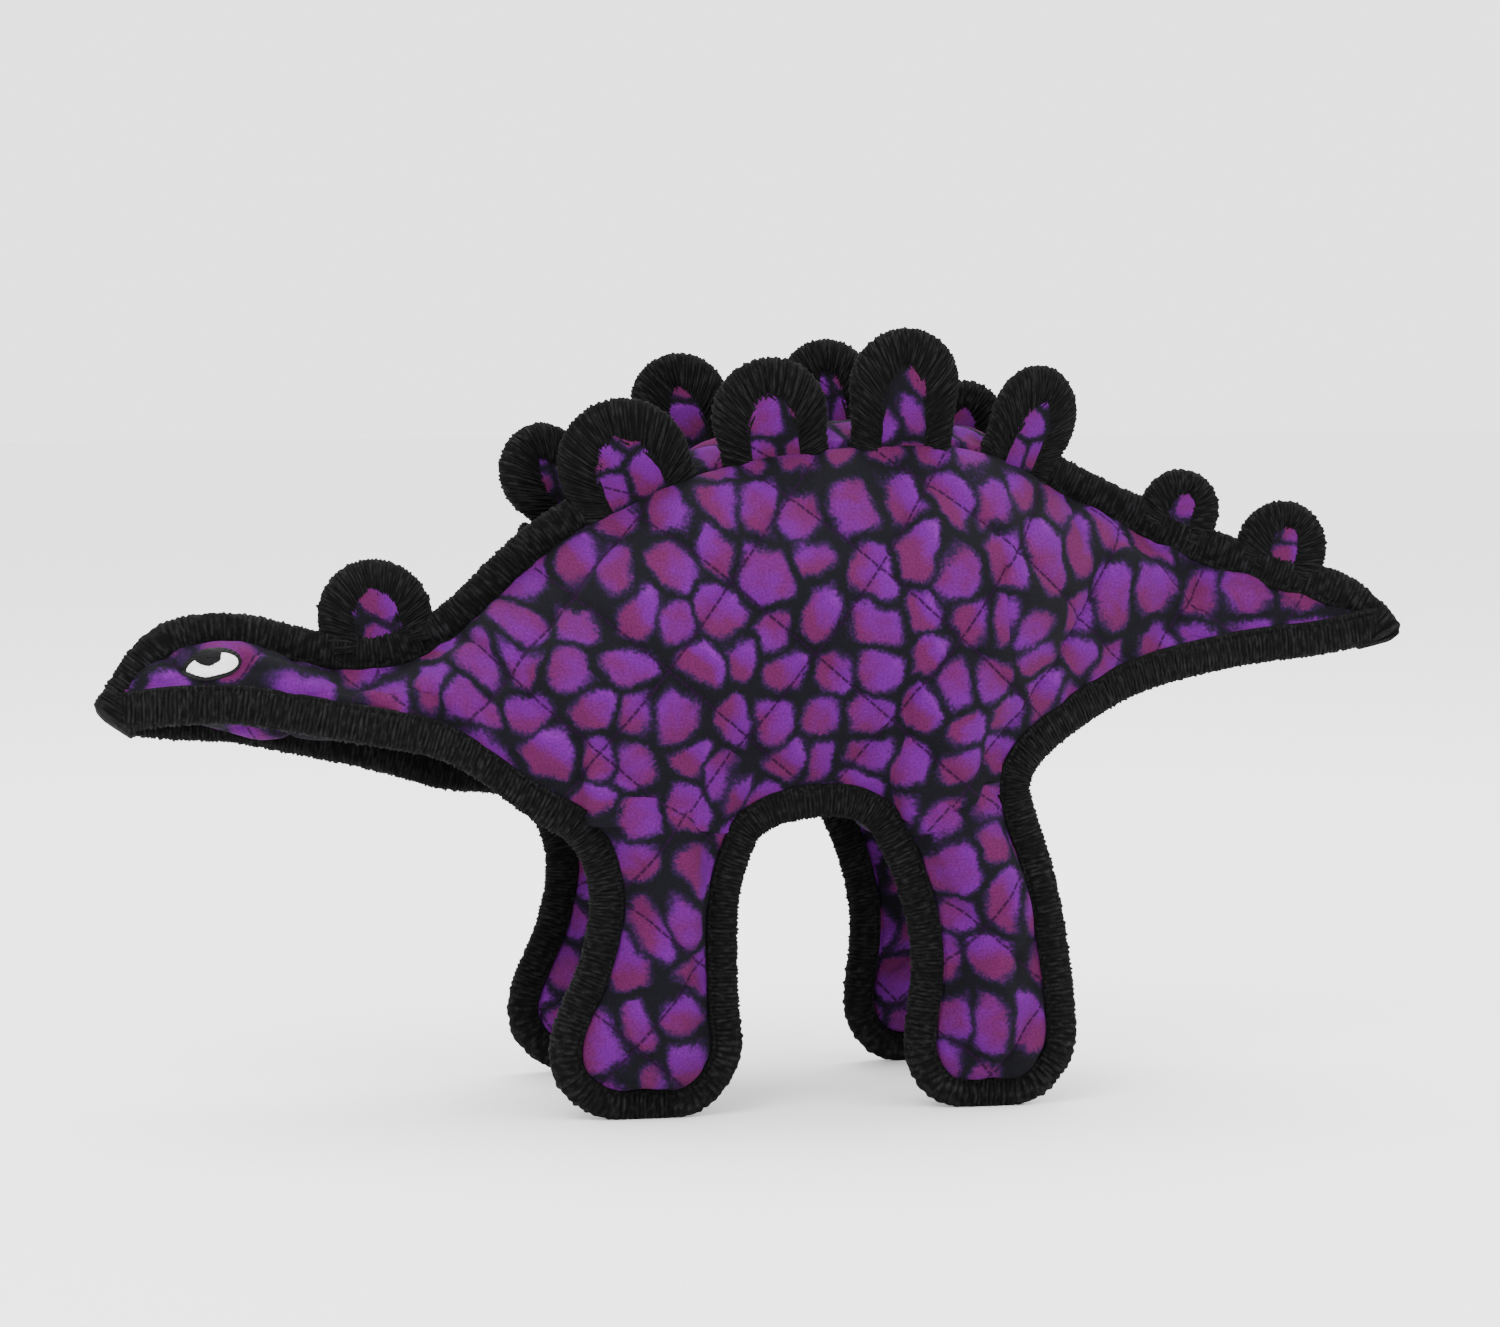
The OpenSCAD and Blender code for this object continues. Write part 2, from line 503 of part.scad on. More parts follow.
module squeaker_pouch() {
    color("#3a3340")
        translate(pouch_at - [pouch_len / 2, 0, 0])
            rotate([0, 90, 0])
                difference() {
                    cylinder(r = pouch_r, h = pouch_len, $fn = 64);
                    translate([0, 0, 1])
                        cylinder(r = pouch_r - 1, h = pouch_len, $fn = 64);
                }
}

bulb_wall = 1.2;
mouth_r = 4;

module squeaker_bulb() {
    color("#e9e2c8")
        translate(pouch_at)
            rotate([0, 90, 0])
                difference() {
                    sphere(r = bulb_r, $fn = 64);
                    sphere(r = bulb_r - bulb_wall, $fn = 64);
                    cylinder(r = mouth_r, h = bulb_r + 1, $fn = 48);
                }
}

module squeaker_reed() {
    color("#d8d8d8")
        translate(pouch_at + [bulb_r - 3, 0, 0])
            rotate([0, 90, 0])
                difference() {
                    union() {
                        translate([0, 0, -3])
                            cylinder(r = mouth_r - 0.05, h = 7, $fn = 48);
                        translate([0, 0, 3.2])
                            cylinder(r = mouth_r + 1.6, h = 1.2, $fn = 48);
                    }
                    translate([0, 0, -4])
                        cylinder(r = 1.2, h = 10, $fn = 24);
                }
}

// ---- Plates ----

function crest_slope(x) = atan2(top_z(x + 2) - top_z(x - 2), 4);
function base_point(row, x) = row == 0
    ? [x - tape_w * sin(crest_slope(x)), 0, top_z(x) + tape_w * cos(crest_slope(x))]
    : [x, row * lookup(x, gusset_half), top_z(x)];

// A plate's place: middle of its base chord, heading, slope, tilt and lift of its hinge over the chord
function plate_place(p) =
    let (reach = 0.45 * p[4], a = base_point(p[1], p[0] - reach), b = base_point(p[1], p[0] + reach),
        slope = atan2(b[2] - a[2], b[0] - a[0]), heading = atan2(b[1] - a[1], b[0] - a[0]),
        up = [-sin(slope), 0, cos(slope)],
        arch = max([for (k = [-4:4]) (base_point(p[1], p[0] + reach * k / 4) - a) * up]))
    [(a + b) / 2, heading, slope, -p[1] * plate_tilt, arch + (p[1] == 0 ? tape_rise : skin_rise)];

module at_plate(p) {
    place = plate_place(p);
    translate([0, 0, roll_z])
        rotate([p[1] == 0 ? roll_angle(p[0]) : 0, 0, 0])
            translate(place[0] - [0, 0, roll_z])
                rotate([0, 0, place[1]])
                    rotate([0, -place[2], 0])
                        rotate([place[3], 0, 0])
                            translate([0, 0, place[4]])
                                children();
}

// A plate's outline, inset from its outer edge: a round top over straight sides down to the base
function leaf(p, inset) =
    let (r = p[2] / 2 - inset, c = p[3] - p[2] / 2, b = max(p[4] / 2 - inset, 0.5), d = norm([b, c]),
        start = d <= r ? asin(-c / r) : atan2(-c, b) + acos(r / d), n = 18)
    concat(d <= r ? [] : [[b, 0]], [for (k = [0:n]) let (a = start + (180 - 2 * start) * k / n)
        [r * cos(a), c + r * sin(a)]], d <= r ? [] : [[-b, 0]]);

module leaf_solid(p, inset, thick) {
    rotate([90, 0, 0])
        linear_extrude(thick, center = true)
            polygon(leaf(p, inset));
}

module plate_core(p) {
    color(plush)
        at_plate(p) {
            leaf_solid(p, tape_t + slack, core_t);
            rotate([0, 90, 0])
                cylinder(r = bead_r, h = p[4] - 5, center = true, $fn = 32);
        }
}

module plate_tape(p) {
    slot = core_t + 2 * slack;
    start = 1.6;
    color(tape_black)
        at_plate(p)
            difference() {
                leaf_solid(p, 0, slot + 2 * tape_t);
                leaf_solid(p, tape_t, slot);
                leaf_solid(p, plate_tape_w, 20);
                translate([-50, -10, start - 20])
                    cube([100, 20, 20]);
            }
}

// ---- Drawing ----

// The lower edge's stretches, as places along it
chin_places = [for (k = [-1:front_leg_from]) k];
arch_places = [for (k = [front_leg_to:rear_leg_from]) k];
tail_places = [for (k = [rear_leg_to:low_count]) k];
leg_places = [[for (k = [front_leg_from:front_leg_to]) k], [for (k = [rear_leg_from:rear_leg_to]) k]];

for (i = [0, 1]) {
    side_panel(i == 1);
    edge_tape(chin_places, i == 1);
    edge_tape(arch_places, i == 1);
    edge_tape(tail_places, i == 1);
    eye_white(i == 1);
    eye_black(i == 1);
}
for (i = [0:3]) {
    leg_filling(floor(i / 2), i % 2 == 1);
    edge_tape(leg_places[floor(i / 2)], i % 2 == 1);
}
for (n = [1:11]) {
    plate_core(plates[n - 1]);
    plate_tape(plates[n - 1]);
}
torso_filling_front();
torso_filling_rear();
head_filling();
tail_filling();
under_panel();
back_gusset();
edge_tape(crest_front);  // crest_tape_front
edge_tape(crest_rear);  // crest_tape_rear
squeaker_pouch();
squeaker_bulb();
squeaker_reed();
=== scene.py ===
import math

import bpy
import numpy as np
from mathutils import Matrix, Vector
from mathutils.bvhtree import BVHTree
from mathutils.kdtree import KDTree


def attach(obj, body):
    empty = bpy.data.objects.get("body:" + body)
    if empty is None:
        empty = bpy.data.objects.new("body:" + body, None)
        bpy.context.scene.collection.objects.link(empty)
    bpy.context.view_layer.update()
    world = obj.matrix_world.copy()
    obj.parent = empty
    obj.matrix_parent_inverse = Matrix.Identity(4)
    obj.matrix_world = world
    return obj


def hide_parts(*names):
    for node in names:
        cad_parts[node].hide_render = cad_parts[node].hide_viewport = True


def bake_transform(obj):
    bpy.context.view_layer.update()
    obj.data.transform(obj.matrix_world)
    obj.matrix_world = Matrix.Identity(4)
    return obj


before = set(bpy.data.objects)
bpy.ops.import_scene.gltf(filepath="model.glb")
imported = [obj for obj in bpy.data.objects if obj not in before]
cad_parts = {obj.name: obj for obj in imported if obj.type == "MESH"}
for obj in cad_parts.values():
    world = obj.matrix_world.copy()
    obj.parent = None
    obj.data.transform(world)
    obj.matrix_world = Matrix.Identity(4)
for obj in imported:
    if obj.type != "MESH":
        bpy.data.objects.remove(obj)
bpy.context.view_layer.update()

MM = 0.001

# ---- Sizes, in millimetres ----

panel_t = 1.5
tape_w = 11
body_swell = 26
belly_drop = 8
head_roll = math.radians(17)
leg_y = 45
leg_swell = 11
plate_tilt = math.radians(8)
sim_swell = 0.93        # share of the swell that the panels are sewn with, before they are stuffed

crest_line = [[-209, 137.5], [-205, 142], [-199, 146], [-189, 149.5], [-179, 150.5], [-169, 149.5],
    [-155, 145.5], [-141, 143], [-127, 143], [-115, 146], [-103, 152], [-93, 160], [-84, 169], [-75, 178],
    [-65, 186], [-51, 194], [-33, 202.5], [-11, 209.5], [13, 213], [35, 214.5], [55, 214], [69, 211.5],
    [80, 207], [93, 200.5], [107, 193.5], [121, 187], [136, 180], [151, 173.5], [170, 167], [188, 161.5],
    [208, 155.5]]
chin_line = [[-209, 134], [-200, 134], [-189, 133.8], [-173, 133], [-155, 129.5], [-141, 126.5],
    [-127, 123.6], [-113, 120], [-101, 116], [-91, 112], [-80, 107], [-67, 100]]
leg_tops = [
    [[-67, 100], [-51, 100], [-35, 98.6], [-21, 96]],
    [[37, 94], [47, 97], [57, 99.6], [67, 102]]]
arch_line = [[-21, 96], [-16, 100.5], [-8, 104.5], [1, 106.5], [11, 107.5], [21, 106.5], [29, 103],
    [34, 99], [37, 94]]
tail_line = [[67, 102], [68, 110], [72, 117], [79, 123.5], [88, 129], [99, 134.5], [113, 140.5],
    [129, 145], [145, 148], [161, 150.6], [180, 152.4], [194, 153], [208, 152.5]]
leg_fronts = [
    [[-67, 100], [-60, 91], [-56, 80], [-55, 68], [-57, 55], [-60, 45], [-65, 34], [-68.4, 24],
    [-67.4, 17], [-62, 12.4]],
    [[37, 94], [42, 84], [46, 73], [49, 62], [50.5, 50], [50, 38], [48.5, 27], [48.5, 18], [52, 12.4]]]
leg_backs = [
    [[-21, 96], [-25, 87], [-28, 77], [-29.5, 66], [-29.6, 55], [-29.6, 44], [-29, 32], [-28, 22],
    [-33, 13.4]],
    [[67, 102], [70.5, 90], [74, 80], [77, 69], [79.5, 56], [81.5, 43], [83, 30], [83, 20], [78, 13]]]
soles = [
    [[-62, 12.4], [-59, tape_w], [-36.5, tape_w], [-33, 13.4]],
    [[52, 12.4], [55, tape_w], [75, tape_w], [78, 13]]]
low_half = [[-209, 3.2], [-201, 9], [-189, 13], [-170, 15], [-155, 16], [-135, 17.5], [-115, 21],
    [-103, 26], [-93, 32], [-81, 39], [-67, leg_y], [67, leg_y], [75, 43], [87, 37], [101, 29], [120, 20],
    [145, 12], [173, 7], [208, 3.2]]
gusset_half = [[-84, 0], [-77, 3], [-69, 8], [-55, 15], [-25, 21], [25, 22], [65, 18], [83, 11], [94, 4],
    [99, 0]]
swell_share = [[-209, 0.03], [-195, 0.2], [-170, 0.24], [-145, 0.25], [-125, 0.33], [-105, 0.46],
    [-85, 0.64], [-65, 0.8], [-35, 0.94], [-5, 1], [35, 0.98], [65, 0.87], [85, 0.7], [105, 0.5],
    [125, 0.34], [155, 0.18], [185, 0.07], [208, 0.02]]
belly_share = [[-209, 0.05], [-195, 0.8], [-170, 1.05], [-150, 0.7], [-125, -0.1], [-105, -0.5],
    [-88, -0.4], [-72, 0.4], [-60, 0.75], [67, 0.75], [95, 0.5], [145, 0.2], [208, 0.05]]
roll_from = -80
roll_to = -118
roll_z = 141
crest_ends = [-78, 98]
middle_x = 8

# Plates as [x, row, width, height, base width]: row -1 is left, 1 is right and 0 is the middle crest
plates = [[-126, 0, 37, 20, 33], [-61, 1, 32, 31, 22], [-44, -1, 43, 29, 38], [-18, 1, 33, 32, 30],
    [-1, -1, 38, 27, 35], [27, 1, 32, 29, 30], [41, -1, 37, 33, 34], [68, 1, 29, 18, 27],
    [81, -1, 34, 30, 30], [137, 0, 27, 12, 25], [174, 0, 31, 14.5, 28]]
skin_rise = 5.3
tape_rise = 3

legs = ["front_left", "front_right", "rear_left", "rear_right"]

# Grid steps of the simulated skin: along the seams, up a side, across the belly and down a leg
chin_n, leg_n, arch_n, tail_n = 36, 12, 15, 36
side_n, belly_n, gusset_n, down_n = 20, 16, 8, 20


# ---- Curves ----

def curve(points, steps=8):
    """A smooth curve through points (Catmull-Rom)."""
    p = np.array(points, float)
    out = []
    for i in range(len(p) - 1):
        a, b, c, d = p[max(i - 1, 0)], p[i], p[i + 1], p[min(i + 2, len(p) - 1)]
        t = (np.arange(steps) / steps)[:, None]
        out.append(0.5 * (2 * b + (c - a) * t + (2 * a - 5 * b + 4 * c - d) * t ** 2
                          + (3 * b - a - 3 * c + d) * t ** 3))
    return np.concatenate(out + [p[-1:]])


def lengths(p):
    return np.concatenate([[0], np.cumsum(np.linalg.norm(np.diff(p, axis=0), axis=1))])


def at_lengths(p, s):
    d = lengths(p)
    return np.stack([np.interp(s, d, p[:, k]) for k in range(p.shape[1])], axis=1)


def evenly(p, n, ease=1):
    """n + 1 points along a polyline, even or, with an ease over 1, closer towards its end."""
    return at_lengths(p, lengths(p)[-1] * (1 - (1 - np.arange(n + 1) / n) ** ease))


def smooth_line(rows):
    """A function through [x, value] rows that never overshoots them (monotone cubic)."""
    xs, ys = np.array(rows, float).T
    h = np.diff(xs)
    d = np.diff(ys) / h
    m = np.zeros(len(xs))
    m[0], m[-1] = d[0], d[-1]
    turn = d[1:] * d[:-1]
    m[1:-1] = np.where(turn > 0, 2 * turn / np.where(turn > 0, d[1:] + d[:-1], 1), 0)

    def at(x):
        x = np.clip(x, xs[0], xs[-1])
        i = np.clip(np.searchsorted(xs, x) - 1, 0, len(h) - 1)
        t = (x - xs[i]) / h[i]
        return ((2 * t ** 3 - 3 * t ** 2 + 1) * ys[i] + (t ** 3 - 2 * t ** 2 + t) * h[i] * m[i]
                + (3 * t ** 2 - 2 * t ** 3) * ys[i + 1] + (t ** 3 - t ** 2) * h[i] * m[i + 1])
    return at


def smoothstep(t):
    t = np.clip(t, 0, 1)
    return t * t * (3 - 2 * t)


def unit(v):
    return v / np.maximum(np.linalg.norm(v, axis=-1, keepdims=True), 1e-9)


half_at, gusset_at = smooth_line(low_half), smooth_line(gusset_half)
swell_at, belly_at = smooth_line(swell_share), smooth_line(belly_share)
crest_curve = curve(crest_line)
leg_edges = [[evenly(curve(leg_fronts[k]), down_n, 1.6), evenly(curve(leg_backs[k]), down_n, 1.6),
              evenly(curve(leg_tops[k]), leg_n), evenly(np.array(soles[k], float), leg_n)] for k in (0, 1)]
low_row = np.concatenate([evenly(curve(chin_line), chin_n), leg_edges[0][2][1:],
                          evenly(curve(arch_line), arch_n)[1:], leg_edges[1][2][1:],
                          evenly(curve(tail_line), tail_n)[1:]])
columns = len(low_row) - 1
leg_at = [chin_n, chin_n + leg_n + arch_n]


def top_z(x):
    return np.interp(x, crest_curve[:, 0], crest_curve[:, 1])


def low_z(x):
    return np.interp(x, low_row[:, 0], low_row[:, 1])


def lens(c):
    return np.maximum(0, np.sin(math.pi * np.clip(c, 0, 1))) ** 0.75


def root_swell(x):
    """Swell of a leg where it joins the body, 0 away from the legs."""
    return leg_swell * sum(lens((x - t[0][0]) / (t[3][0] - t[0][0])) for t in leg_tops)


def roll(p):
    """Points rolled with the head and neck, about a line through the middle of the neck."""
    a = -head_roll * smoothstep((p[..., 0] - roll_from) / (roll_to - roll_from))
    y, z = p[..., 1], p[..., 2] - roll_z
    new_y, new_z = y * np.cos(a) - z * np.sin(a), y * np.sin(a) + z * np.cos(a)
    return np.stack([p[..., 0], new_y, roll_z + new_z], axis=-1)


# ---- Surfaces round the filling, on the left side ----

def side_point(x, v, share=1.0):
    y0, y1 = half_at(x), gusset_at(x)
    swell = share * body_swell * swell_at(x) * np.sin(math.pi * v)
    y = y0 + (y1 - y0) * v + swell + root_swell(x) * (1 - v) ** 3
    return np.stack([x, -y, low_z(x) + (top_z(x) - low_z(x)) * v], axis=-1)


def belly_point(x, u):
    half = half_at(x) - root_swell(x)
    z = low_z(x) - belly_drop * belly_at(x) * np.sin(math.pi * u)
    return np.stack([x, half * (2 * u - 1), z], axis=-1)


def leg_grid(leg, out):
    """A left leg's face: across from its front seam to its back one, and down from its top to the sole."""
    front, back, top, sole = leg_edges[leg]
    c = np.linspace(0, 1, leg_n + 1)[:, None, None]
    w = np.linspace(0, 1, down_n + 1)[None, :, None]
    p = ((1 - w) * top[:, None] + w * sole[:, None] + (1 - c) * front[None] + c * back[None]
         - (1 - c) * (1 - w) * top[0] - c * (1 - w) * top[-1] - (1 - c) * w * sole[0] - c * w * sole[-1])
    c, w = np.broadcast_arrays(c[..., 0], w[..., 0])
    y = -leg_y - out * leg_swell * lens(c) * np.sqrt(np.maximum(0, 1 - w ** 4))
    return np.stack([p[..., 0], y, p[..., 1]], axis=-1)


# ---- The skin: blocks of points, each with its place on the flat cloth ----

SIDE, UNDER, GUSSET = 0, 2, 3


def block(panel, region, points, flat, flip, seam):
    rows, cols = points.shape[:2]
    i = np.arange(rows * cols).reshape(rows, cols)
    q = np.stack([i[:-1, :-1], i[1:, :-1], i[1:, 1:], i[:-1, 1:]], axis=-1).reshape(-1, 4)
    return dict(panel=panel, region=region, points=points.reshape(-1, 3), flat=flat.reshape(-1, 2),
                faces=q[:, ::-1] if flip else q, seam=seam.reshape(-1))


def seams_of(points, first, last):
    """Which points of a grid are on a seam: its end rows, and its first and last columns as given."""
    seam = np.zeros(points.shape[:2], bool)
    seam[:, 0], seam[:, -1] = first, last
    seam[0], seam[-1] = True, True
    return seam


def skin_blocks():
    """The blocks of the four panels. A leg's outer face is part of a side, its inner one of the underside."""
    x = low_row[:, 0]
    blocks = []
    seam_low = np.ones(columns + 1, bool)
    for at in leg_at:
        seam_low[at + 1:at + leg_n] = False
    for side, sign in ((0, 1), (1, -1)):
        mirror = np.array([1, sign, 1])
        v = np.linspace(0, 1, side_n + 1)
        points = side_point(*np.broadcast_arrays(x[:, None], v[None]), sim_swell)
        seam = seams_of(points, seam_low, True)
        blocks.append(block(SIDE + side, 0, points * mirror, points[..., [0, 2]], side == 1, seam))
        for leg in (0, 1):
            outer, inner = leg_grid(leg, 1), leg_grid(leg, -1)
            edge = seams_of(outer, False, True)
            region = 1 + 2 * leg + side
            blocks.append(block(SIDE + side, region, outer * mirror, outer[..., [0, 2]], side == 0, edge))
            drop = leg_y + inner[:, :1, 2] - inner[..., 2]
            flat = np.stack([inner[..., 0], -sign * drop], axis=-1)
            blocks.append(block(UNDER, region, inner * mirror, flat, side == 1, edge))
    u = np.linspace(0, 1, belly_n + 1)
    points = belly_point(*np.broadcast_arrays(x[:, None], u[None]))
    seam = seams_of(points, seam_low, seam_low)
    blocks.append(block(UNDER, 0, points, points[..., [0, 1]], True, seam))
    xg = x[(x > gusset_half[0][0]) & (x < gusset_half[-1][0])]
    j = np.linspace(-1, 1, gusset_n + 1)
    half = gusset_at(xg)[:, None]
    z = top_z(xg)[:, None] + 3 * half / 22 * np.cos(math.pi / 2 * j[None])
    points = np.stack([np.broadcast_to(xg[:, None], z.shape), half * j[None], z], axis=-1)
    blocks.append(block(GUSSET, 0, points, points[..., [0, 1]], False, seams_of(points, True, True)))
    return blocks


def ring_quads(numbers):
    """Quads between rows of vertex numbers, each row a closed ring."""
    i = np.concatenate([numbers, numbers[:, :1]], axis=1)
    return np.stack([i[:-1, :-1], i[:-1, 1:], i[1:, 1:], i[1:, :-1]], axis=-1).reshape(-1, 4)


def linked(name, data):
    obj = bpy.data.objects.new(name, data)
    bpy.context.scene.collection.objects.link(obj)
    return obj


def new_object(name, points, faces, more_faces=()):
    """An object in metres from points in millimetres."""
    mesh = bpy.data.meshes.new(name)
    mesh.from_pydata((points * MM).tolist(), [], np.asarray(faces).tolist() + list(more_faces))
    mesh.shade_smooth()
    return linked(name, mesh)


def places(mesh):
    co = np.zeros(len(mesh.vertices) * 3, np.float32)
    mesh.vertices.foreach_get("co", co)
    return co.reshape(-1, 3).astype(float)


def baked_mesh(obj):
    """The mesh of an object with its modifiers applied; the object itself is removed."""
    graph = bpy.context.evaluated_depsgraph_get()
    mesh = bpy.data.meshes.new_from_object(obj.evaluated_get(graph))
    bpy.data.objects.remove(obj)
    return mesh


def stuffed(points, faces, pinned):
    """The welded skin after stuffing: pressure inside, seams held."""
    skin = new_object("skin", points, faces)
    group = skin.vertex_groups.new(name="seams")
    group.add([int(i) for i in np.nonzero(pinned)[0]], 1, "REPLACE")
    cloth = skin.modifiers.new("Cloth", "CLOTH")
    s = cloth.settings
    s.quality, s.mass = 6, 0.25
    s.tension_stiffness = s.compression_stiffness = 22
    s.shear_stiffness, s.bending_stiffness = 8, 0.35
    s.vertex_group_mass = "seams"
    s.effector_weights.gravity = 0
    s.use_pressure, s.uniform_pressure_force = True, 3.2
    s.shrink_min = -0.035
    cloth.collision_settings.use_collision = False
    cloth.point_cache.frame_end = 20
    scene = bpy.context.scene
    for step in range(1, 21):
        scene.frame_set(step)
    mesh = baked_mesh(skin)
    scene.frame_set(1)
    moved = places(mesh) / MM - points
    far = np.linalg.norm(moved, axis=1, keepdims=True)
    return points + moved * np.minimum(1, 7 / np.maximum(far, 1e-6))


# ---- Quilting ----

quilt_pitch = 33
quilt_ways = [math.radians(51), math.radians(-40)]
quilt_shift = [9.0, 15.0]


def quilt_distance(flat):
    """Distance to the nearest line of each of the two families of stitching."""
    out = []
    for way, shift in zip(quilt_ways, quilt_shift):
        d = flat @ np.array([-math.sin(way), math.cos(way)]) + shift
        out.append(np.abs((d + quilt_pitch / 2) % quilt_pitch - quilt_pitch / 2))
    return np.array(out)


def quilt_height(flat):
    """Puffed diamonds between stitched grooves."""
    d = quilt_distance(flat)
    puff = np.prod(np.sin(math.pi / 2 * np.clip(d / (0.32 * quilt_pitch), 0, 1)), axis=0)
    groove = np.exp(-(d / 1.1) ** 2).sum(axis=0)
    return 1.7 * puff - 0.9 * groove


def wave_noise(p, size, seed):
    """Smooth noise from -1 to 1 as a sum of a few seeded sine waves."""
    rng = np.random.default_rng(seed)
    out = np.zeros(len(p))
    for _ in range(7):
        k = rng.normal(size=p.shape[1])
        k *= (2 * math.pi / size) * rng.uniform(0.6, 1.5) / np.linalg.norm(k)
        out += np.sin(p @ k + rng.uniform(0, 2 * math.pi))
    return out / 4


# ---- Panels ----

def panel_mesh(name, blocks, points):
    """One panel's mesh after the simulation, subdivided, as (points, flat, faces, region of each face)."""
    start = np.cumsum([0] + [len(b["points"]) for b in blocks])
    ids = np.concatenate([b["ids"] for b in blocks])
    used, first, index = np.unique(ids, return_index=True, return_inverse=True)
    flat = np.concatenate([b["flat"] for b in blocks])[first]
    faces = np.concatenate([index[b["faces"] + s] for b, s in zip(blocks, start)])
    region = np.concatenate([np.full(len(b["faces"]), b["region"]) for b in blocks])
    obj = new_object(name, points[used], faces)
    obj.data.polygons.foreach_set("material_index", region.astype(np.int32))
    set_values(obj, "flat", with_zero(flat))
    for _ in range(9):
        obj.data.materials.append(None)
    sub = obj.modifiers.new("Subdivision", "SUBSURF")
    sub.levels = sub.render_levels = 2
    sub.boundary_smooth = "PRESERVE_CORNERS"
    mesh = baked_mesh(obj)
    n = len(mesh.vertices)
    flat = np.zeros(n * 3, np.float32)
    mesh.attributes["flat"].data.foreach_get("vector", flat)
    region = np.zeros(len(mesh.polygons), np.int32)
    mesh.polygons.foreach_get("material_index", region)
    faces = np.zeros(len(mesh.loops), np.int32)
    mesh.loops.foreach_get("vertex_index", faces)
    return places(mesh) / MM, flat.reshape(-1, 3)[:, :2].astype(float), faces.reshape(-1, 4), region


def vertex_normals(points, faces):
    d = np.cross(points[faces[:, 2]] - points[faces[:, 0]], points[faces[:, 3]] - points[faces[:, 1]])
    n = np.zeros_like(points)
    for k in range(4):
        np.add.at(n, faces[:, k], d)
    return unit(n)


def rim_of(faces):
    """The directed edges that only one face has, and the face of each."""
    a, b = faces.ravel(), np.roll(faces, -1, axis=1).ravel()
    owner = np.repeat(np.arange(len(faces)), 4)
    key = np.minimum(a, b) * (faces.max() + 1) + np.maximum(a, b)
    _, index, count = np.unique(key, return_inverse=True, return_counts=True)
    lone = count[index] == 1
    return a[lone], b[lone], owner[lone]


lip, tip_lip = 4.5, 1.2      # how far a panel's edge goes into the tape, and at the nose and the tail tip
gusset_above = 150           # a rim over this height and between the crest tapes meets the gusset


def lip_ways(panel, points, a, b):
    """For the edges of a panel's rim: the way its lip runs, and the way its thickness goes there."""
    if panel == GUSSET:
        inside = np.ones(len(a), bool)
    else:
        mid = (points[a] + points[b]) / 2
        between = (mid[:, 0] > crest_ends[0] - 1) & (mid[:, 0] < crest_ends[1] + 1)
        inside = (mid[:, 2] > gusset_above) & between
    facing = np.zeros((len(a), 3))
    facing[:, 1] = {SIDE: -1, SIDE + 1: 1}.get(panel, 0) if panel < UNDER else -np.sign(points[a, 1])
    away = np.cross(unit(points[b] - points[a]), facing)
    away[inside] = [0, 0, -1]
    facing[inside] = 0
    return away, facing


def dressed(panel, points, flat, faces, region):
    """A panel with its thickness, quilting, puckers and the lip that goes into the tape or the seam."""
    n = len(points)
    a, b, owner = rim_of(faces)
    rim = np.unique(np.concatenate([a, b]))
    away, facing = lip_ways(panel, points, a, b)
    rim_away, rim_out = np.zeros((n, 3)), np.zeros((n, 3))
    for end in (a, b):
        np.add.at(rim_away, end, away)
        np.add.at(rim_out, end, facing / 2)
    nearest = rim_distance(points, rim)
    near = np.exp(-(nearest / 5) ** 2)
    pucker = 0.5 * near * (1 - np.exp(-(nearest / 1.5) ** 2)) * wave_noise(points, 9, 11 + panel)
    height = quilt_height(flat) * smoothstep(nearest / 12) + pucker + 0.25 * wave_noise(points, 30, 5 + panel)
    out = vertex_normals(points, faces) * (panel_t + height)[:, None]
    out[rim] = panel_t * unit(rim_out[rim])
    points = points + out
    at_tip = (points[rim, 0] < low_row[0, 0] + 0.5) | (points[rim, 0] > low_row[-1, 0] - 0.5)
    reach = np.where(at_tip, tip_lip, lip)[:, None] * unit(rim_away[rim])
    number = np.zeros(n, int)
    number[rim] = n + np.arange(len(rim))
    strip = np.stack([b, a, number[a], number[b]], axis=-1)
    return (np.concatenate([points, points[rim] + reach]),
            np.concatenate([flat, flat[rim] + reach[:, [0, 2]]]),
            np.concatenate([faces, strip]), np.concatenate([region, region[owner]]))


def rim_distance(points, rim):
    tree = KDTree(len(rim))
    for i in rim:
        tree.insert(points[i], int(i))
    tree.balance()
    return np.array([tree.find(p)[2] for p in points])


# Size of the print's scales along a side, as [x, size]
cell_size = [[-230, 25], [-150, 23], [-105, 16], [-60, 14.5], [60, 14.5], [110, 16], [160, 21], [230, 23]]
print_pitch = 13        # size of a scale on the plates
side_print_z = 140      # height on the sides where the print is neither enlarged upwards nor downwards


def print_places(flat, height):
    """Places on the printed pattern: its scales grow towards the head, the tail, the back and the feet."""
    x = np.linspace(-230, 230, 461)
    size = np.interp(x, *np.array(cell_size, float).T)
    along = np.interp(flat[:, 0], x, np.cumsum(1 / size))
    z = flat[:, 1] - height
    up = z - 0.22 * np.maximum(z - 30, 0) - 0.2 * np.minimum(z + 50, 0)
    return np.stack([along, up / np.interp(flat[:, 0], x, size)], axis=1)


def part_of(name, points, faces, keep, normals, on_cloth):
    """A piece from some faces of a panel, with the whole panel's shading and places on the cloth."""
    used, index = np.unique(faces[keep], return_inverse=True)
    piece = new_object(name, points[used], index.reshape(-1, 4))
    for attribute, values in on_cloth.items():
        set_values(piece, attribute, with_zero(values[used]))
    piece.data.normals_split_custom_set_from_vertices(normals[used].tolist())
    piece.data.materials.append(plush)
    return piece


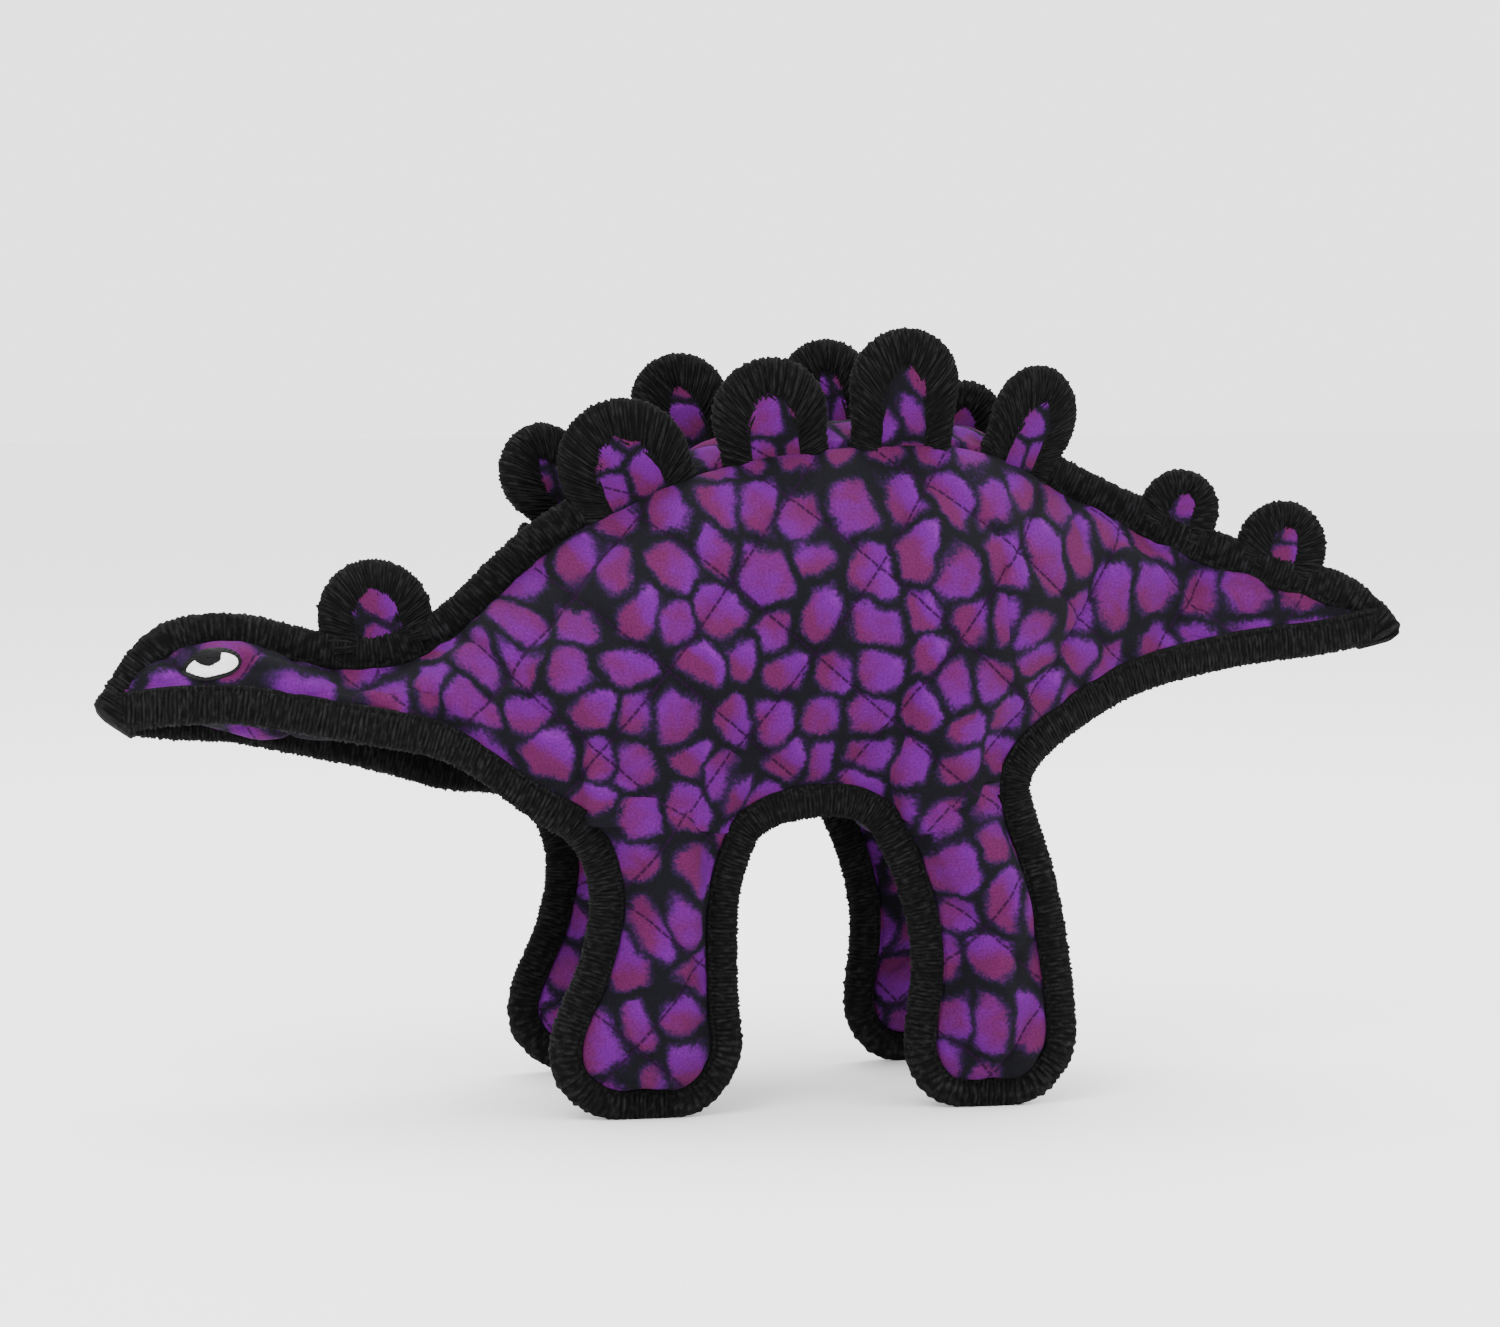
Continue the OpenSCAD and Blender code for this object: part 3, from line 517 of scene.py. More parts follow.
def with_zero(flat):
    """Flat places with a third column of zeros."""
    return np.pad(flat, ((0, 0), (0, 1)))


def set_values(obj, name, values):
    """Stores a number or a vector at each point, for the materials."""
    kind, field = ("FLOAT", "value") if values.ndim == 1 else ("FLOAT_VECTOR", "vector")
    attribute = obj.data.attributes.new(name, kind, "POINT")
    attribute.data.foreach_set(field, values.astype(np.float32).ravel())


# ---- Material nodes ----

class Nodes:
    """Short calls for building a node tree."""

    def __init__(self, name):
        self.material = bpy.data.materials.new(name)
        self.material.use_nodes = True
        self.tree = self.material.node_tree
        self.shader = self.tree.nodes["Principled BSDF"]

    def put(self, socket, value):
        if isinstance(value, bpy.types.NodeSocket):
            self.tree.links.new(value, socket)
        elif value is not None:
            socket.default_value = value

    def add(self, kind, out=0, inputs=(), **settings):
        node = self.tree.nodes.new(kind)
        for key, value in settings.items():
            setattr(node, key, value)
        for key, value in dict(inputs).items():
            self.put(node.inputs[key], value)
        return node.outputs[out]

    def math(self, operation, a, b=None, c=None):
        return self.add("ShaderNodeMath", 0, {0: a, 1: b, 2: c}, operation=operation)

    def plus(self, a, b):
        return self.math("ADD", a, b)

    def minus(self, a, b):
        return self.math("SUBTRACT", a, b)

    def times(self, a, b):
        return self.math("MULTIPLY", a, b)

    def vector(self, operation, a, b=None, out=0, scale=None):
        inputs = {0: a, 1: b}
        if scale is not None:
            inputs["Scale"] = scale
        return self.add("ShaderNodeVectorMath", out, inputs, operation=operation)

    def noise(self, at, scale, detail=2.0, out=0, rough=0.5):
        inputs = {"Vector": at, "Scale": scale, "Detail": detail, "Roughness": rough}
        return self.add("ShaderNodeTexNoise", out, inputs)

    def ramp(self, value, low, high, start=0.0, end=1.0):
        """A smooth step of a value from one limit to another, as a number."""
        inputs = {0: value, 1: low, 2: high, 3: start, 4: end}
        return self.add("ShaderNodeMapRange", 0, inputs, interpolation_type="SMOOTHSTEP")

    def mix(self, share, a, b, blend="MIX"):
        node = self.tree.nodes.new("ShaderNodeMix")
        node.data_type, node.blend_type = "RGBA", blend
        for socket, value in zip((node.inputs[0], node.inputs[6], node.inputs[7]), (share, a, b)):
            self.put(socket, value)
        return node.outputs[2]

    def bump(self, height, distance, strength=1.0):
        return self.add("ShaderNodeBump", 0, {"Height": height, "Distance": distance, "Strength": strength})

    def finish(self, **sockets):
        for key, value in sockets.items():
            self.put(self.shader.inputs[key.replace("_", " ")], value)
        return self.material


def srgb(code):
    """A colour given as a web code, in linear light."""
    c = np.array([int(code[i:i + 2], 16) for i in (1, 3, 5)]) / 255
    c = np.where(c <= 0.04045, c / 12.92, ((c + 0.055) / 1.055) ** 2.4)
    return (*[float(v) for v in c], 1)


plum, violet, lilac = srgb("#4b143d"), srgb("#4d0c62"), srgb("#5e1874")
gap, smoke = srgb("#0c0c11"), srgb("#281038")
# The tape's two colours: a black darker than the cloth, as painted shade between the ribs, and a grey painted
# highlight for the rib crests.
tape_dark, tape_rib_highlight = srgb("#020202"), srgb("#222224")


def plush_material():
    """Short pile printed with rounded scales, each running from plum to violet, and stitched in diamonds."""
    n = Nodes("plush")
    place = n.add("ShaderNodeAttribute", 1, attribute_name="cloth")
    printed = n.add("ShaderNodeAttribute", 1, attribute_name="print")
    drift = n.vector("SUBTRACT", n.noise(place, 0.05, 2.0, 1), (0.5, 0.5, 0.5))
    fray = n.vector("SUBTRACT", n.noise(place, 0.9, 3.0, 1), (0.5, 0.5, 0.5))
    moved = n.vector("ADD", printed, n.vector("SCALE", drift, scale=0.95))
    scaled = n.vector("ADD", moved, n.vector("SCALE", fray, scale=0.22))
    look = {"Vector": scaled, "Scale": 1.0, "Randomness": 0.6}
    second = n.add("ShaderNodeTexVoronoi", 0, look, voronoi_dimensions="2D", feature="F2")
    cells = n.add("ShaderNodeTexVoronoi", 1, look, voronoi_dimensions="2D")
    reach, centre = cells.node.outputs[0], cells.node.outputs[2]
    way = n.vector("SUBTRACT", cells, (0.2, 0.24, 0.5))
    from_centre = n.vector("SUBTRACT", scaled, centre)
    across = n.vector("DOT_PRODUCT", from_centre, n.vector("MULTIPLY", way, (1, 1, 0)), 1)
    uneven = n.minus(n.noise(place, 0.16, 3.0), 0.5)
    across = n.plus(across, n.times(uneven, 0.4))
    tone = n.mix(n.ramp(across, -0.16, 0.14), plum, violet)
    tone = n.mix(n.ramp(across, 0.1, 0.38, 0, 0.8), tone, lilac)
    # the corners of a scale are rounded by its distance from the middle, and gaps widen in patches
    patchy = n.plus(n.ramp(n.noise(place, 0.045, 3.0), 0.3, 0.7, -0.03, 0.05),
                    n.times(n.math("POWER", reach, 2.0), 0.36))
    inside = n.minus(n.times(n.minus(second, reach), 0.5), patchy)
    tone = n.mix(n.ramp(inside, -0.02, 0.14), smoke, tone)
    tone = n.mix(n.ramp(inside, -0.1, 0.08), gap, tone)
    tone = n.mix(n.times(stitches(n, place), 0.8), tone, srgb("#1c0622"))
    pile = n.noise(place, 1.5, 5.0, rough=0.72)
    shade = n.ramp(pile, 0.25, 0.75, 0.66, 1.3)
    tone = n.mix(1.0, tone, n.add("ShaderNodeCombineColor", 0, {k: shade for k in range(3)}), "MULTIPLY")
    fibres = n.noise(n.vector("MULTIPLY", place, (2.6, 1.1, 1)), 1.0, 4.0, rough=0.8)
    height = n.plus(n.times(pile, 0.6), fibres)
    return n.finish(Base_Color=tone, Roughness=0.92, Specular_IOR_Level=0.08,
                    Normal=n.bump(height, 0.0009, 0.6))


def stitches(n, place):
    """1 on the quilting's thread, 0 away from it, with a gap between one stitch and the next."""
    lines = []
    for way, shift in zip(quilt_ways, quilt_shift):
        across = n.vector("DOT_PRODUCT", place, (-math.sin(way), math.cos(way), 0), 1)
        along = n.vector("DOT_PRODUCT", place, (math.cos(way), math.sin(way), 0), 1)
        away = n.math("PINGPONG", n.plus(across, shift), quilt_pitch / 2)
        step = n.math("PINGPONG", along, 1.5)
        lines.append(n.times(n.ramp(away, 0.6, 0.2), n.ramp(step, 0.1, 0.5, 0.2, 1)))
    return n.math("MAXIMUM", *lines)


def tape_material():
    """Black ribbed knit: a painted grey highlight on the ribs and painted shade, near black, between them,
    made uneven by knots and random patches, with loose fibres.
    """
    n = Nodes("tape")
    place = n.add("ShaderNodeAttribute", 1, attribute_name="cloth")
    rib = n.add("ShaderNodeAttribute", 2, attribute_name="rib")
    knots = n.noise(n.vector("MULTIPLY", place, (1.3, 0.75, 1)), 0.7, 4.0, rough=0.75)
    highlight_patches = n.noise(place, 0.12, 2.0)
    # share of the painted highlight: full on the rib crests and none between them, where painted shade stays;
    # knots and random patches weaken it
    shade = n.times(n.ramp(rib, 0.1, 1.0), n.ramp(knots, 0.38, 0.68, 0.05, 1))
    shade = n.times(shade, n.ramp(highlight_patches, 0.3, 0.7, 0.5, 1))
    tone = n.mix(shade, tape_dark, tape_rib_highlight)
    fibres = n.noise(n.vector("MULTIPLY", place, (3.5, 1.3, 1)), 1.0, 4.0, rough=0.8)
    height = n.plus(n.times(fibres, 0.5), knots)
    return n.finish(Base_Color=tone, Roughness=0.95, Specular_IOR_Level=0.12,
                    Normal=n.bump(height, 0.0016, 0.8))


def thread_material(name, dark, light, shine):
    """Satin stitch."""
    n = Nodes(name)
    place = n.add("ShaderNodeAttribute", 1, attribute_name="cloth")
    strand = n.noise(n.vector("MULTIPLY", place, (1.2, 6.0, 1)), 1.0, 3.0)
    tone = n.mix(n.ramp(strand, 0.35, 0.65), dark, light)
    return n.finish(Base_Color=tone, Roughness=0.6, Specular_IOR_Level=shine,
                    Anisotropic=0.5, Normal=n.bump(strand, 0.0002, 0.4))


def wadding_material():
    n = Nodes("wadding")
    place = n.add("ShaderNodeTexCoord", 3)
    curls = n.noise(place, 900.0, 5.0, rough=0.7)
    tone = n.mix(curls, srgb("#d9d6cc"), srgb("#fbfaf5"))
    return n.finish(Base_Color=tone, Roughness=1.0, Sheen_Weight=0.6, Normal=n.bump(curls, 0.001, 0.8))


def plain_material(name, dark, light, rough, grain, sheen=0.0, wave=False):
    """A moulded or woven finish for the pieces of the squeaker."""
    n = Nodes(name)
    place = n.add("ShaderNodeTexCoord", 3)
    if wave:
        weft = n.add("ShaderNodeTexWave", 1, {"Vector": place, "Scale": grain}, bands_direction="X")
        warp = n.add("ShaderNodeTexWave", 1, {"Vector": place, "Scale": grain}, bands_direction="DIAGONAL")
        height = n.math("MAXIMUM", weft, warp)
    else:
        height = n.noise(place, grain, 3.0)
    tone = n.mix(n.ramp(height, 0.3, 0.7), dark, light)
    return n.finish(Base_Color=tone, Roughness=rough, Sheen_Weight=sheen, Normal=n.bump(height, 0.0002, 0.4))


plush, tape_cloth, wadding = plush_material(), tape_material(), wadding_material()
thread_black = thread_material("thread_black", srgb("#020203"), srgb("#0c0c0e"), 0.12)
thread_white = thread_material("thread_white", srgb("#c3c4c8"), srgb("#ececea"), 0.35)


# ---- Pieces and their bodies ----

def bend(piece, kind, number=None):
    """Bakes a head, tail or leg piece's transform into its mesh, and attaches any other piece to the empty of
    its body.
    """
    if kind == "head":
        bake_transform(piece)
    elif kind == "tail":
        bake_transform(piece)
    elif kind in legs:
        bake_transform(piece)
    else:
        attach(piece, kind)
    return piece


# ---- The stuffed skin ----

def make_skin():
    blocks = skin_blocks()
    points = np.concatenate([b["points"] for b in blocks])
    _, first, index = np.unique(np.round(points, 3), axis=0, return_index=True, return_inverse=True)
    index = index.ravel()
    start = 0
    faces, pinned = [], np.zeros(len(first), bool)
    for b in blocks:
        b["ids"] = index[start:start + len(b["points"])]
        pinned[b["ids"][b["seam"]]] = True
        faces.append(b["ids"][b["faces"]])
        start += len(b["points"])
    welded = points[first]
    welded = stuffed(welded, np.concatenate(faces), pinned)
    return blocks, welded


def make_panels(blocks, welded):
    """The four panels, each cut into pieces at the joints. Returns the surfaces for the eyes."""
    names = {SIDE: ("side_left", "side_panel_left"), SIDE + 1: ("side_right", "side_panel_right"),
             UNDER: ("under", "under_panel"), GUSSET: ("gusset", "back_gusset")}
    trees = {}
    for panel, (name, node) in names.items():
        mine = [b for b in blocks if b["panel"] == panel]
        points, flat, faces, region = dressed(panel, *panel_mesh(name, mine, welded))
        trees[panel] = BVHTree.FromPolygons((points * MM).tolist(), faces.tolist())
        middle = points[faces].mean(axis=1)[:, 0]
        points = roll(points)
        normals = vertex_normals(points, faces)
        cuts = {"torso": region == 0} if panel == GUSSET else {
            "head": (region == 0) & (middle < middle_x), "tail": (region == 0) & (middle >= middle_x)}
        for k, leg in enumerate(legs):
            cuts[leg] = region == k + 1
        shift = np.array([panel * 211.0, panel * 97.0])
        middle_height = side_print_z if panel in (SIDE, SIDE + 1) else 0
        printed = print_places(flat, middle_height) + shift / print_pitch
        on_cloth = {"cloth": flat + shift, "print": printed}
        for kind, keep in cuts.items():
            if keep.any():
                piece = part_of(f"{name}_{kind}", points, faces, keep, normals, on_cloth)
                bend(piece, kind)
                if kind in ("head", "torso"):
                    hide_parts(node)
    return trees


# ---- Folded tape ----

rib_pitch, rib_height, ring_step = 1.35, 0.5, 0.3375
half_fold = [[0.0, 1.55], [0.1, 2.1], [0.9, 2.65], [1.7, 2.25], [2.6, 2.75], [4.4, 3.05], [6.6, 3.1],
    [8.6, 2.85], [10.0, 2.2], [10.8, 1.2], [11.1, 0.0]]
fold = np.array(half_fold + [[s, -h] for s, h in half_fold[-2::-1]])


def ribbed(path, away, side, section, seed, edge=None, middle=5.5):
    """A tape folded over an edge: rings across the path, with a rib every few rings.

    Gives points, faces, the share of rib at each point, its place on the flat tape and the two end caps.
    The ribs are spaced along `edge`, the tape's outer edge, where it differs from the path."""
    rng = np.random.default_rng(seed)
    m, k = len(path), len(section)
    s = lengths(path if edge is None else edge)
    rib = s / rib_pitch + 0.12 * wave_noise(s[:, None], 6, seed + 5)
    strength = rng.uniform(0.45, 1.25, int(rib.max()) + 4)
    crest = np.abs(np.cos(math.pi * rib)) * strength[np.round(rib).astype(int)]
    across = np.linspace(0, 24, k)
    at = np.stack([np.repeat(s, k), np.tile(across, m)], axis=1)
    knots = 0.6 * wave_noise(at, 3.0, seed + 1) + 0.55 * wave_noise(at * [1, 0.7], 1.9, seed + 3)
    lift = crest[:, None] + knots.reshape(m, k)
    outward = np.stack([-np.gradient(section[:, 1]), np.gradient(section[:, 0])], axis=1)
    if section[:, 0].max() < 2:
        outward[:, 1] *= 12
    outward = unit(outward)
    outward *= np.sign(np.sum(outward * (section - [middle, 0]), axis=1, keepdims=True) + 1e-9)
    hold = np.minimum(1, (np.minimum(np.arange(k), np.arange(k)[::-1]) / 4) ** 1.5)
    wide = 1 + 0.06 * wave_noise(s[:, None], 13, seed + 2)
    reach = np.linalg.norm(away, axis=1)
    offset = section[None] * np.stack([np.ones(m), wide], axis=1)[:, None]
    raised = (rib_height * lift * hold)[..., None] * outward[None]
    raised[..., 0] /= np.maximum(reach, 1e-6)[:, None]
    offset = offset + raised
    points = path[:, None] + away[:, None] * offset[..., :1] + side[:, None] * offset[..., 1:]
    i = np.arange(m * k).reshape(m, k)
    faces = ring_quads(i)
    place = np.zeros((m, k, 3))
    place[..., 0], place[..., 1] = s[:, None], across[None]
    caps = [i[0, ::-1].tolist(), i[-1].tolist()]
    return points.reshape(-1, 3), faces, np.clip(lift, 0, 1.3).ravel(), place.reshape(-1, 3), caps


def tape_piece(name, made, shift, place_in_world=roll):
    """A tape's object; the shift sets its part of the knit apart from the other tapes'."""
    points, faces, rib, place, caps = made
    piece = new_object(name, place_in_world(points), faces, caps)
    set_values(piece, "rib", rib)
    set_values(piece, "cloth", place + [shift, 0, 0])
    piece.data.materials.append(tape_cloth)
    return piece


def soften(p, size):
    """A path with its corners rounded over a length of some millimetres; its ends stay."""
    s = lengths(p)
    even = np.arange(0, s[-1], 0.25)
    q = at_lengths(p, even)
    reach = int(3 * size / 0.25)
    w = np.exp(-0.5 * (np.arange(-reach, reach + 1) * 0.25 / size) ** 2)
    w /= w.sum()
    padded_ends = np.concatenate([2 * q[0] - q[reach:0:-1], q, 2 * q[-1] - q[-2:-reach - 2:-1]])
    return np.stack([np.convolve(padded_ends[:, k], w, "valid") for k in range(q.shape[1])], axis=1)


def seam_frames(p, outside):
    """Even rings along a path in the side view, with their way out; outside is 1 or -1."""
    s = lengths(p)
    steps = max(2, int(round(s[-1] / ring_step)))
    path = at_lengths(p, np.linspace(0, s[-1], steps + 1))
    t = unit(np.gradient(path, axis=0) * [1, 0, 1])
    away = np.stack([t[:, 2], np.zeros(len(t)), -t[:, 0]], axis=1) * outside
    return path, away


def on_low_seam(p):
    """[x, z] points of the body's lower edge, with the seam's place across the body."""
    return np.stack([p[:, 0], -half_at(p[:, 0]), p[:, 1]], axis=1)


def lower_edge():
    """The whole lower edge on the left, from the nose to the tail tip, and the lengths at which it is cut."""
    def leg(k):
        front, back, _, sole = leg_edges[k]
        p = np.concatenate([front, sole[1:-1], back[::-1]])
        return np.stack([p[:, 0], np.full(len(p), -leg_y), p[:, 1]], axis=1)
    starts = [0, leg_at[0], leg_at[0] + leg_n, leg_at[1], leg_at[1] + leg_n, columns]
    rows = [low_row[a:b + 1] for a, b in zip(starts[::2], starts[1::2])]
    nose = np.array([[-213, -2.2, 134], [-209, -3.4, 134]])
    tip = np.array([[196, -4.2, 154.4], [204, -3.4, 156.2], [211, -2.6, 157]])
    parts = [np.concatenate([nose, on_low_seam(rows[0])[1:]]), leg(0), on_low_seam(rows[1]), leg(1),
             np.concatenate([on_low_seam(rows[2][rows[2][:, 0] < 188]), tip])]
    cuts = np.cumsum([0] + [lengths(p)[-1] for p in parts])
    return np.concatenate([parts[0]] + [p[1:] for p in parts[1:]]), cuts


def rounded_end(distance, radius):
    """Share of a tape's section left at a distance from its end."""
    return np.sqrt(1 - (1 - np.minimum(1, distance / radius + 0.02)) ** 2)[:, None]


def widened(points, away, more):
    """A tape's points with its inner edge moved out by `more` at each ring, while its outer edge stays."""
    shift = more[:, None] * np.clip(1 - fold[:, 0] / 9, 0, 1)[None]
    return points + (away[:, None] * shift[..., None]).reshape(-1, 3)


def level(path):
    return np.broadcast_to(np.array([0.0, 1.0, 0.0]), path.shape)


# The lower edge's tapes from the nose to the tail tip, as [node, body, how far the inner edge is moved out]
low_tapes = [["chin_tape", "head", -1.2], ["leg_tape_front", "front", 1.2], ["arch_tape", "torso", 0.4],
    ["leg_tape_rear", "rear", 1.2], ["tail_tape", "tail", -0.6]]


def make_low_tapes(side, sign):
    """One ribbed tape along the whole lower edge of a side, cut into its five nodes."""
    whole, cuts = lower_edge()
    path, away = seam_frames(soften(whole, 2.0), 1)
    ends = np.round(cuts / cuts[-1] * (len(path) - 1)).astype(int)
    more = np.interp(np.arange(len(path)), (ends[:-1] + ends[1:]) / 2, [row[2] for row in low_tapes])
    s = lengths(path)
    end = rounded_end(np.minimum(s, s[-1] - s), 4)
    mirror = np.array([1, sign, 1])
    points, faces, rib, place, _ = ribbed(path * mirror, away * end, level(path) * end, fold, 40 + sign)
    points = widened(points, away, more)
    points[:, 2] = np.maximum(points[:, 2], 0)       # the feet are flat on the floor
    k = len(fold)
    for (name, body, _), a, b in zip(low_tapes, ends[:-1], ends[1:]):
        rows = slice(a * k, (b + 1) * k)
        mine = faces[a * k:b * k] - a * k
        if sign < 0:
            mine = mine[:, ::-1]
        last = (b - a) * k
        caps = [list(range(k))[::sign], list(range(last, last + k))[::-sign]]
        node = f"{name}_{side}"
        piece = tape_piece(node + "_ribbed", (points[rows], mine, rib[rows], place[rows], caps), 300 * sign)
        bend(piece, f"{body}_{side}" if body in ("front", "rear") else body)
        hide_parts(node)


nose_line = [[-213.6, 124.6], [-208.2, 132.2], [-202, 139.8]]
tip_line = [[196, 158.8], [203, 155], [208, 151.4], [211, 147.5], [211.5, 144.5]]
front_forks = [-60, -70]      # where the crest tape's two ends run in under the first plates
rear_forks = [92, 78]         # and under the last ones
blunt_from = 14               # a crest tape's covering end at the nose or the tail tip is this long
blunt_thicker, blunt_narrower, blunt_cover = 1.2, 0.13, 6


def crest_seam(low_x, high_x, sign):
    x = np.arange(low_x, high_x + 0.5, 1.0)
    return np.stack([x, sign * gusset_at(x), top_z(x)], axis=1)


def make_crest_tapes():
    """The tape over the head and down the nose, and the one along the tail, each with a thick blunt end that
    covers the lower tapes' ends. Beside the plates each runs on along the left edge of the back."""
    nose, tip = (np.insert(np.array(p, float), 1, 0, axis=1) for p in (nose_line, tip_line))
    front = np.concatenate([nose, crest_seam(-195, front_forks[0], -1)])
    rear = np.concatenate([crest_seam(rear_forks[0], 188, -1), tip])
    for node, p, body in (("crest_tape_front", front, "head"), ("crest_tape_rear", rear, "tail")):
        path, away = seam_frames(soften(p, 2.0), -1)
        s = lengths(path)
        near = s if body == "head" else s[-1] - s
        blunt = smoothstep(1 - near / blunt_from)
        thick = 1 + blunt_thicker * smoothstep(1 - near / 10)
        width = 1 - blunt_narrower * smoothstep(1 - (near - 8) / blunt_from)
        piece = crest_piece(node, path, away, rounded_end(near, 3.5), width, thick, -blunt_cover * blunt)
        bend(piece, body)
        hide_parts(node)


def make_far_forks():
    """Short tapes that join the crest tapes along the right edge of the back, under the plates."""
    for name, low_x, high_x in (("front", -76, front_forks[1]), ("rear", rear_forks[1], 102)):
        path, away = seam_frames(soften(crest_seam(low_x, high_x, 1), 2.0), -1)
        s = lengths(path)
        end = rounded_end(np.minimum(s, s[-1] - s), 3.5)
        same = np.ones(len(path))
        bend(crest_piece(f"crest_tape_{name}_far", path, away, end, same, same, 0 * same), "torso")


def crest_piece(name, path, away, end, width, thick, more):
    across = level(path) * thick[:, None] * end
    section = fold * [1.09, 1] - [1.0, 0]
    points, faces, rib, place, caps = ribbed(path, away * width[:, None] * end, across, section, 60)
    return tape_piece(name + "_ribbed", (widened(points, away, more), faces, rib, place, caps), 700)


# ---- Plates ----

def crest_slope(x):
    return math.atan2(top_z(x + 2) - top_z(x - 2), 4)


def base_point(row, x):
    if row == 0:
        a = crest_slope(x)
        return np.array([x - tape_w * math.sin(a), 0, top_z(x) + tape_w * math.cos(a)])
    return np.array([x, row * gusset_at(x), top_z(x)])


def turn(axis, angle):
    return np.array(Matrix.Rotation(angle, 3, axis))


def plate_frame(x, row, base):
    """A plate's hinge place, its axes as columns and how far the hinge stands over the seam."""
    reach = 0.45 * base
    a, b = base_point(row, x - reach), base_point(row, x + reach)
    slope, heading = math.atan2(b[2] - a[2], b[0] - a[0]), math.atan2(b[1] - a[1], b[0] - a[0])
    up = np.array([-math.sin(slope), 0, math.cos(slope)])
    arch = max((base_point(row, x + reach * k / 4) - a) @ up for k in range(-4, 5))
    lift = arch + (tape_rise if row == 0 else skin_rise)
    axes = turn("Z", heading) @ turn("Y", -slope) @ turn("X", -row * plate_tilt)
    return (a + b) / 2 + axes @ [0, 0, lift], axes, lift


def leaf(width, height, base, inset, n=72):
    """A plate's outline, inset from its edge: a round top over straight sides down to the base."""
    r, c, b = width / 2 - inset, height - width / 2, max(base / 2 - inset, 0.5)
    d = math.hypot(b, c)
    start = math.asin(-c / r) if d <= r else math.atan2(-c, b) + math.acos(r / d)
    a = start + (math.pi - 2 * start) * np.linspace(0, 1, n + 1)
    arc = np.stack([r * np.cos(a), c + r * np.sin(a)], axis=1)
    return arc if d <= r else np.concatenate([[[b, 0]], arc, [[-b, 0]]])


# Across a plate's tape, as [share of the way from the inner edge to the outer, half thickness]
rim_fold = np.array([[0.0, 1.7], [0.02, 2.5], [0.08, 2.95], [0.14, 2.55], [0.22, 3.0], [0.4, 3.35],
    [0.62, 3.3], [0.8, 2.85], [0.92, 2.0], [0.985, 1.0], [1.0, 0.0]])
rim_fold = np.concatenate([rim_fold, (rim_fold * [1, -1])[-2::-1]])
rim_reach, tip_reach = 11.4, 12.8


def teardrop(line, width, height, base, wider):
    """A plate tape's inner edge at each point of its outer edge: upright sides that meet in a point."""
    top = max(height - tip_reach - wider, 0.4 * height)
    half = max(min(width, base + 4) / 2 - rim_reach - wider, 2.2)
    s = lengths(line)
    rise = 1 - np.abs(2 * s / s[-1] - 1)
    up = line[0, 1] + (top - line[0, 1]) * np.minimum(1, rise * 1.02)
    narrow = np.clip(1 - (up / top).clip(0, 1) ** 1.7, 0.02, 1)
    return np.stack([np.sign(line[:, 0]) * half * narrow, up], axis=1)


def down_to(outline, z):
    """A plate's outline with its two ends carried straight down to a height below the hinge."""
    return np.concatenate([[[outline[0, 0], z]], outline, [[outline[-1, 0], z]]])


def upright(p):
    """Points of a plate's own plane, as (along, through, up)."""
    return np.stack([p[:, 0], np.zeros(len(p)), p[:, 1]], axis=1)


def make_plate(number, x, row, width, height, base):
    """A plate: a ribbed tape round its edge, and padded plush faces inside it."""
    origin, axes, lift = plate_frame(x, row, base)
    drop = lift + (4 if row else 7)
    body = f"plate_{number}"

    def place_in_world(points):
        return roll(origin + points @ axes.T)

    made = plate_rim(number, width, height, base, drop, 0 if row else 1.6)
    rim = tape_piece(body + "_tape", made, 1000 * number, place_in_world)
    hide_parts(f"plate_tape_{number}")

    local, quads, fans = plate_pad(width, height, base, drop)
    pad = new_object(body + "_pad", place_in_world(local), quads, fans)
    flat = local[:, [0, 2]]
    set_values(pad, "cloth", with_zero(flat + [170 * number, 53 * number]))
    set_values(pad, "print", with_zero(flat / print_pitch + [2.3 * number, 5.7 * number]))
    pad.data.materials.append(plush)
    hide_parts(f"plate_core_{number}")
    for piece in (rim, pad):
        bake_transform(piece)


def plate_rim(number, width, height, base, drop, wider):
    """A plate's ribbed tape in the plate's own axes."""
    line = soften(down_to(leaf(width, height, base, 0), -drop), 1.5)
    s = lengths(line)
    line = at_lengths(line, np.linspace(0, s[-1], int(s[-1] / ring_step) + 1))
    inner = teardrop(line, width, height, base, wider)
    path, away = upright(inner), upright(line - inner)
    return ribbed(path, away, level(path), rim_fold, 100 + number, upright(line), 0.6)


def plate_pad(width, height, base, drop):
    """A plate's two crowned faces and the edge between them, in the plate's own axes."""
    ring = down_to(leaf(width, height, base, 6.5), -drop)
    ring = evenly(np.concatenate([ring, ring[:1]]), 96)[:-1]
    centre = np.array([0, max(height - width / 2, 0.35 * height) - 2])
    shares = np.linspace(1, 0, 9)[:-1]
    half = 1.5 + 1.9 * (1 - shares ** 2) ** 0.8
    layers = []
    for face in (1, -1):
        p = centre + shares[:, None, None] * (ring - centre)[None]
        y = face * np.broadcast_to(half[:, None], p.shape[:2])
        layers.append(np.stack([p[..., 0], y, p[..., 1]], axis=-1))
    grid = np.concatenate([layers[0][::-1], layers[1]]).reshape(-1, 3)
    tips = np.array([[centre[0], 3.4, centre[1]], [centre[0], -3.4, centre[1]]])
    m, rows = len(ring), 2 * len(shares)
    last = (rows - 1) * m
    fans = [[rows * m, (j + 1) % m, j] for j in range(m)]
    fans += [[rows * m + 1, last + j, last + (j + 1) % m] for j in range(m)]
    return np.concatenate([grid, tips]), ring_quads(np.arange(rows * m).reshape(rows, m)), fans


# ---- Eyes ----

eye_at = np.array([-183, 141.7])
eye_tilt = math.radians(10)


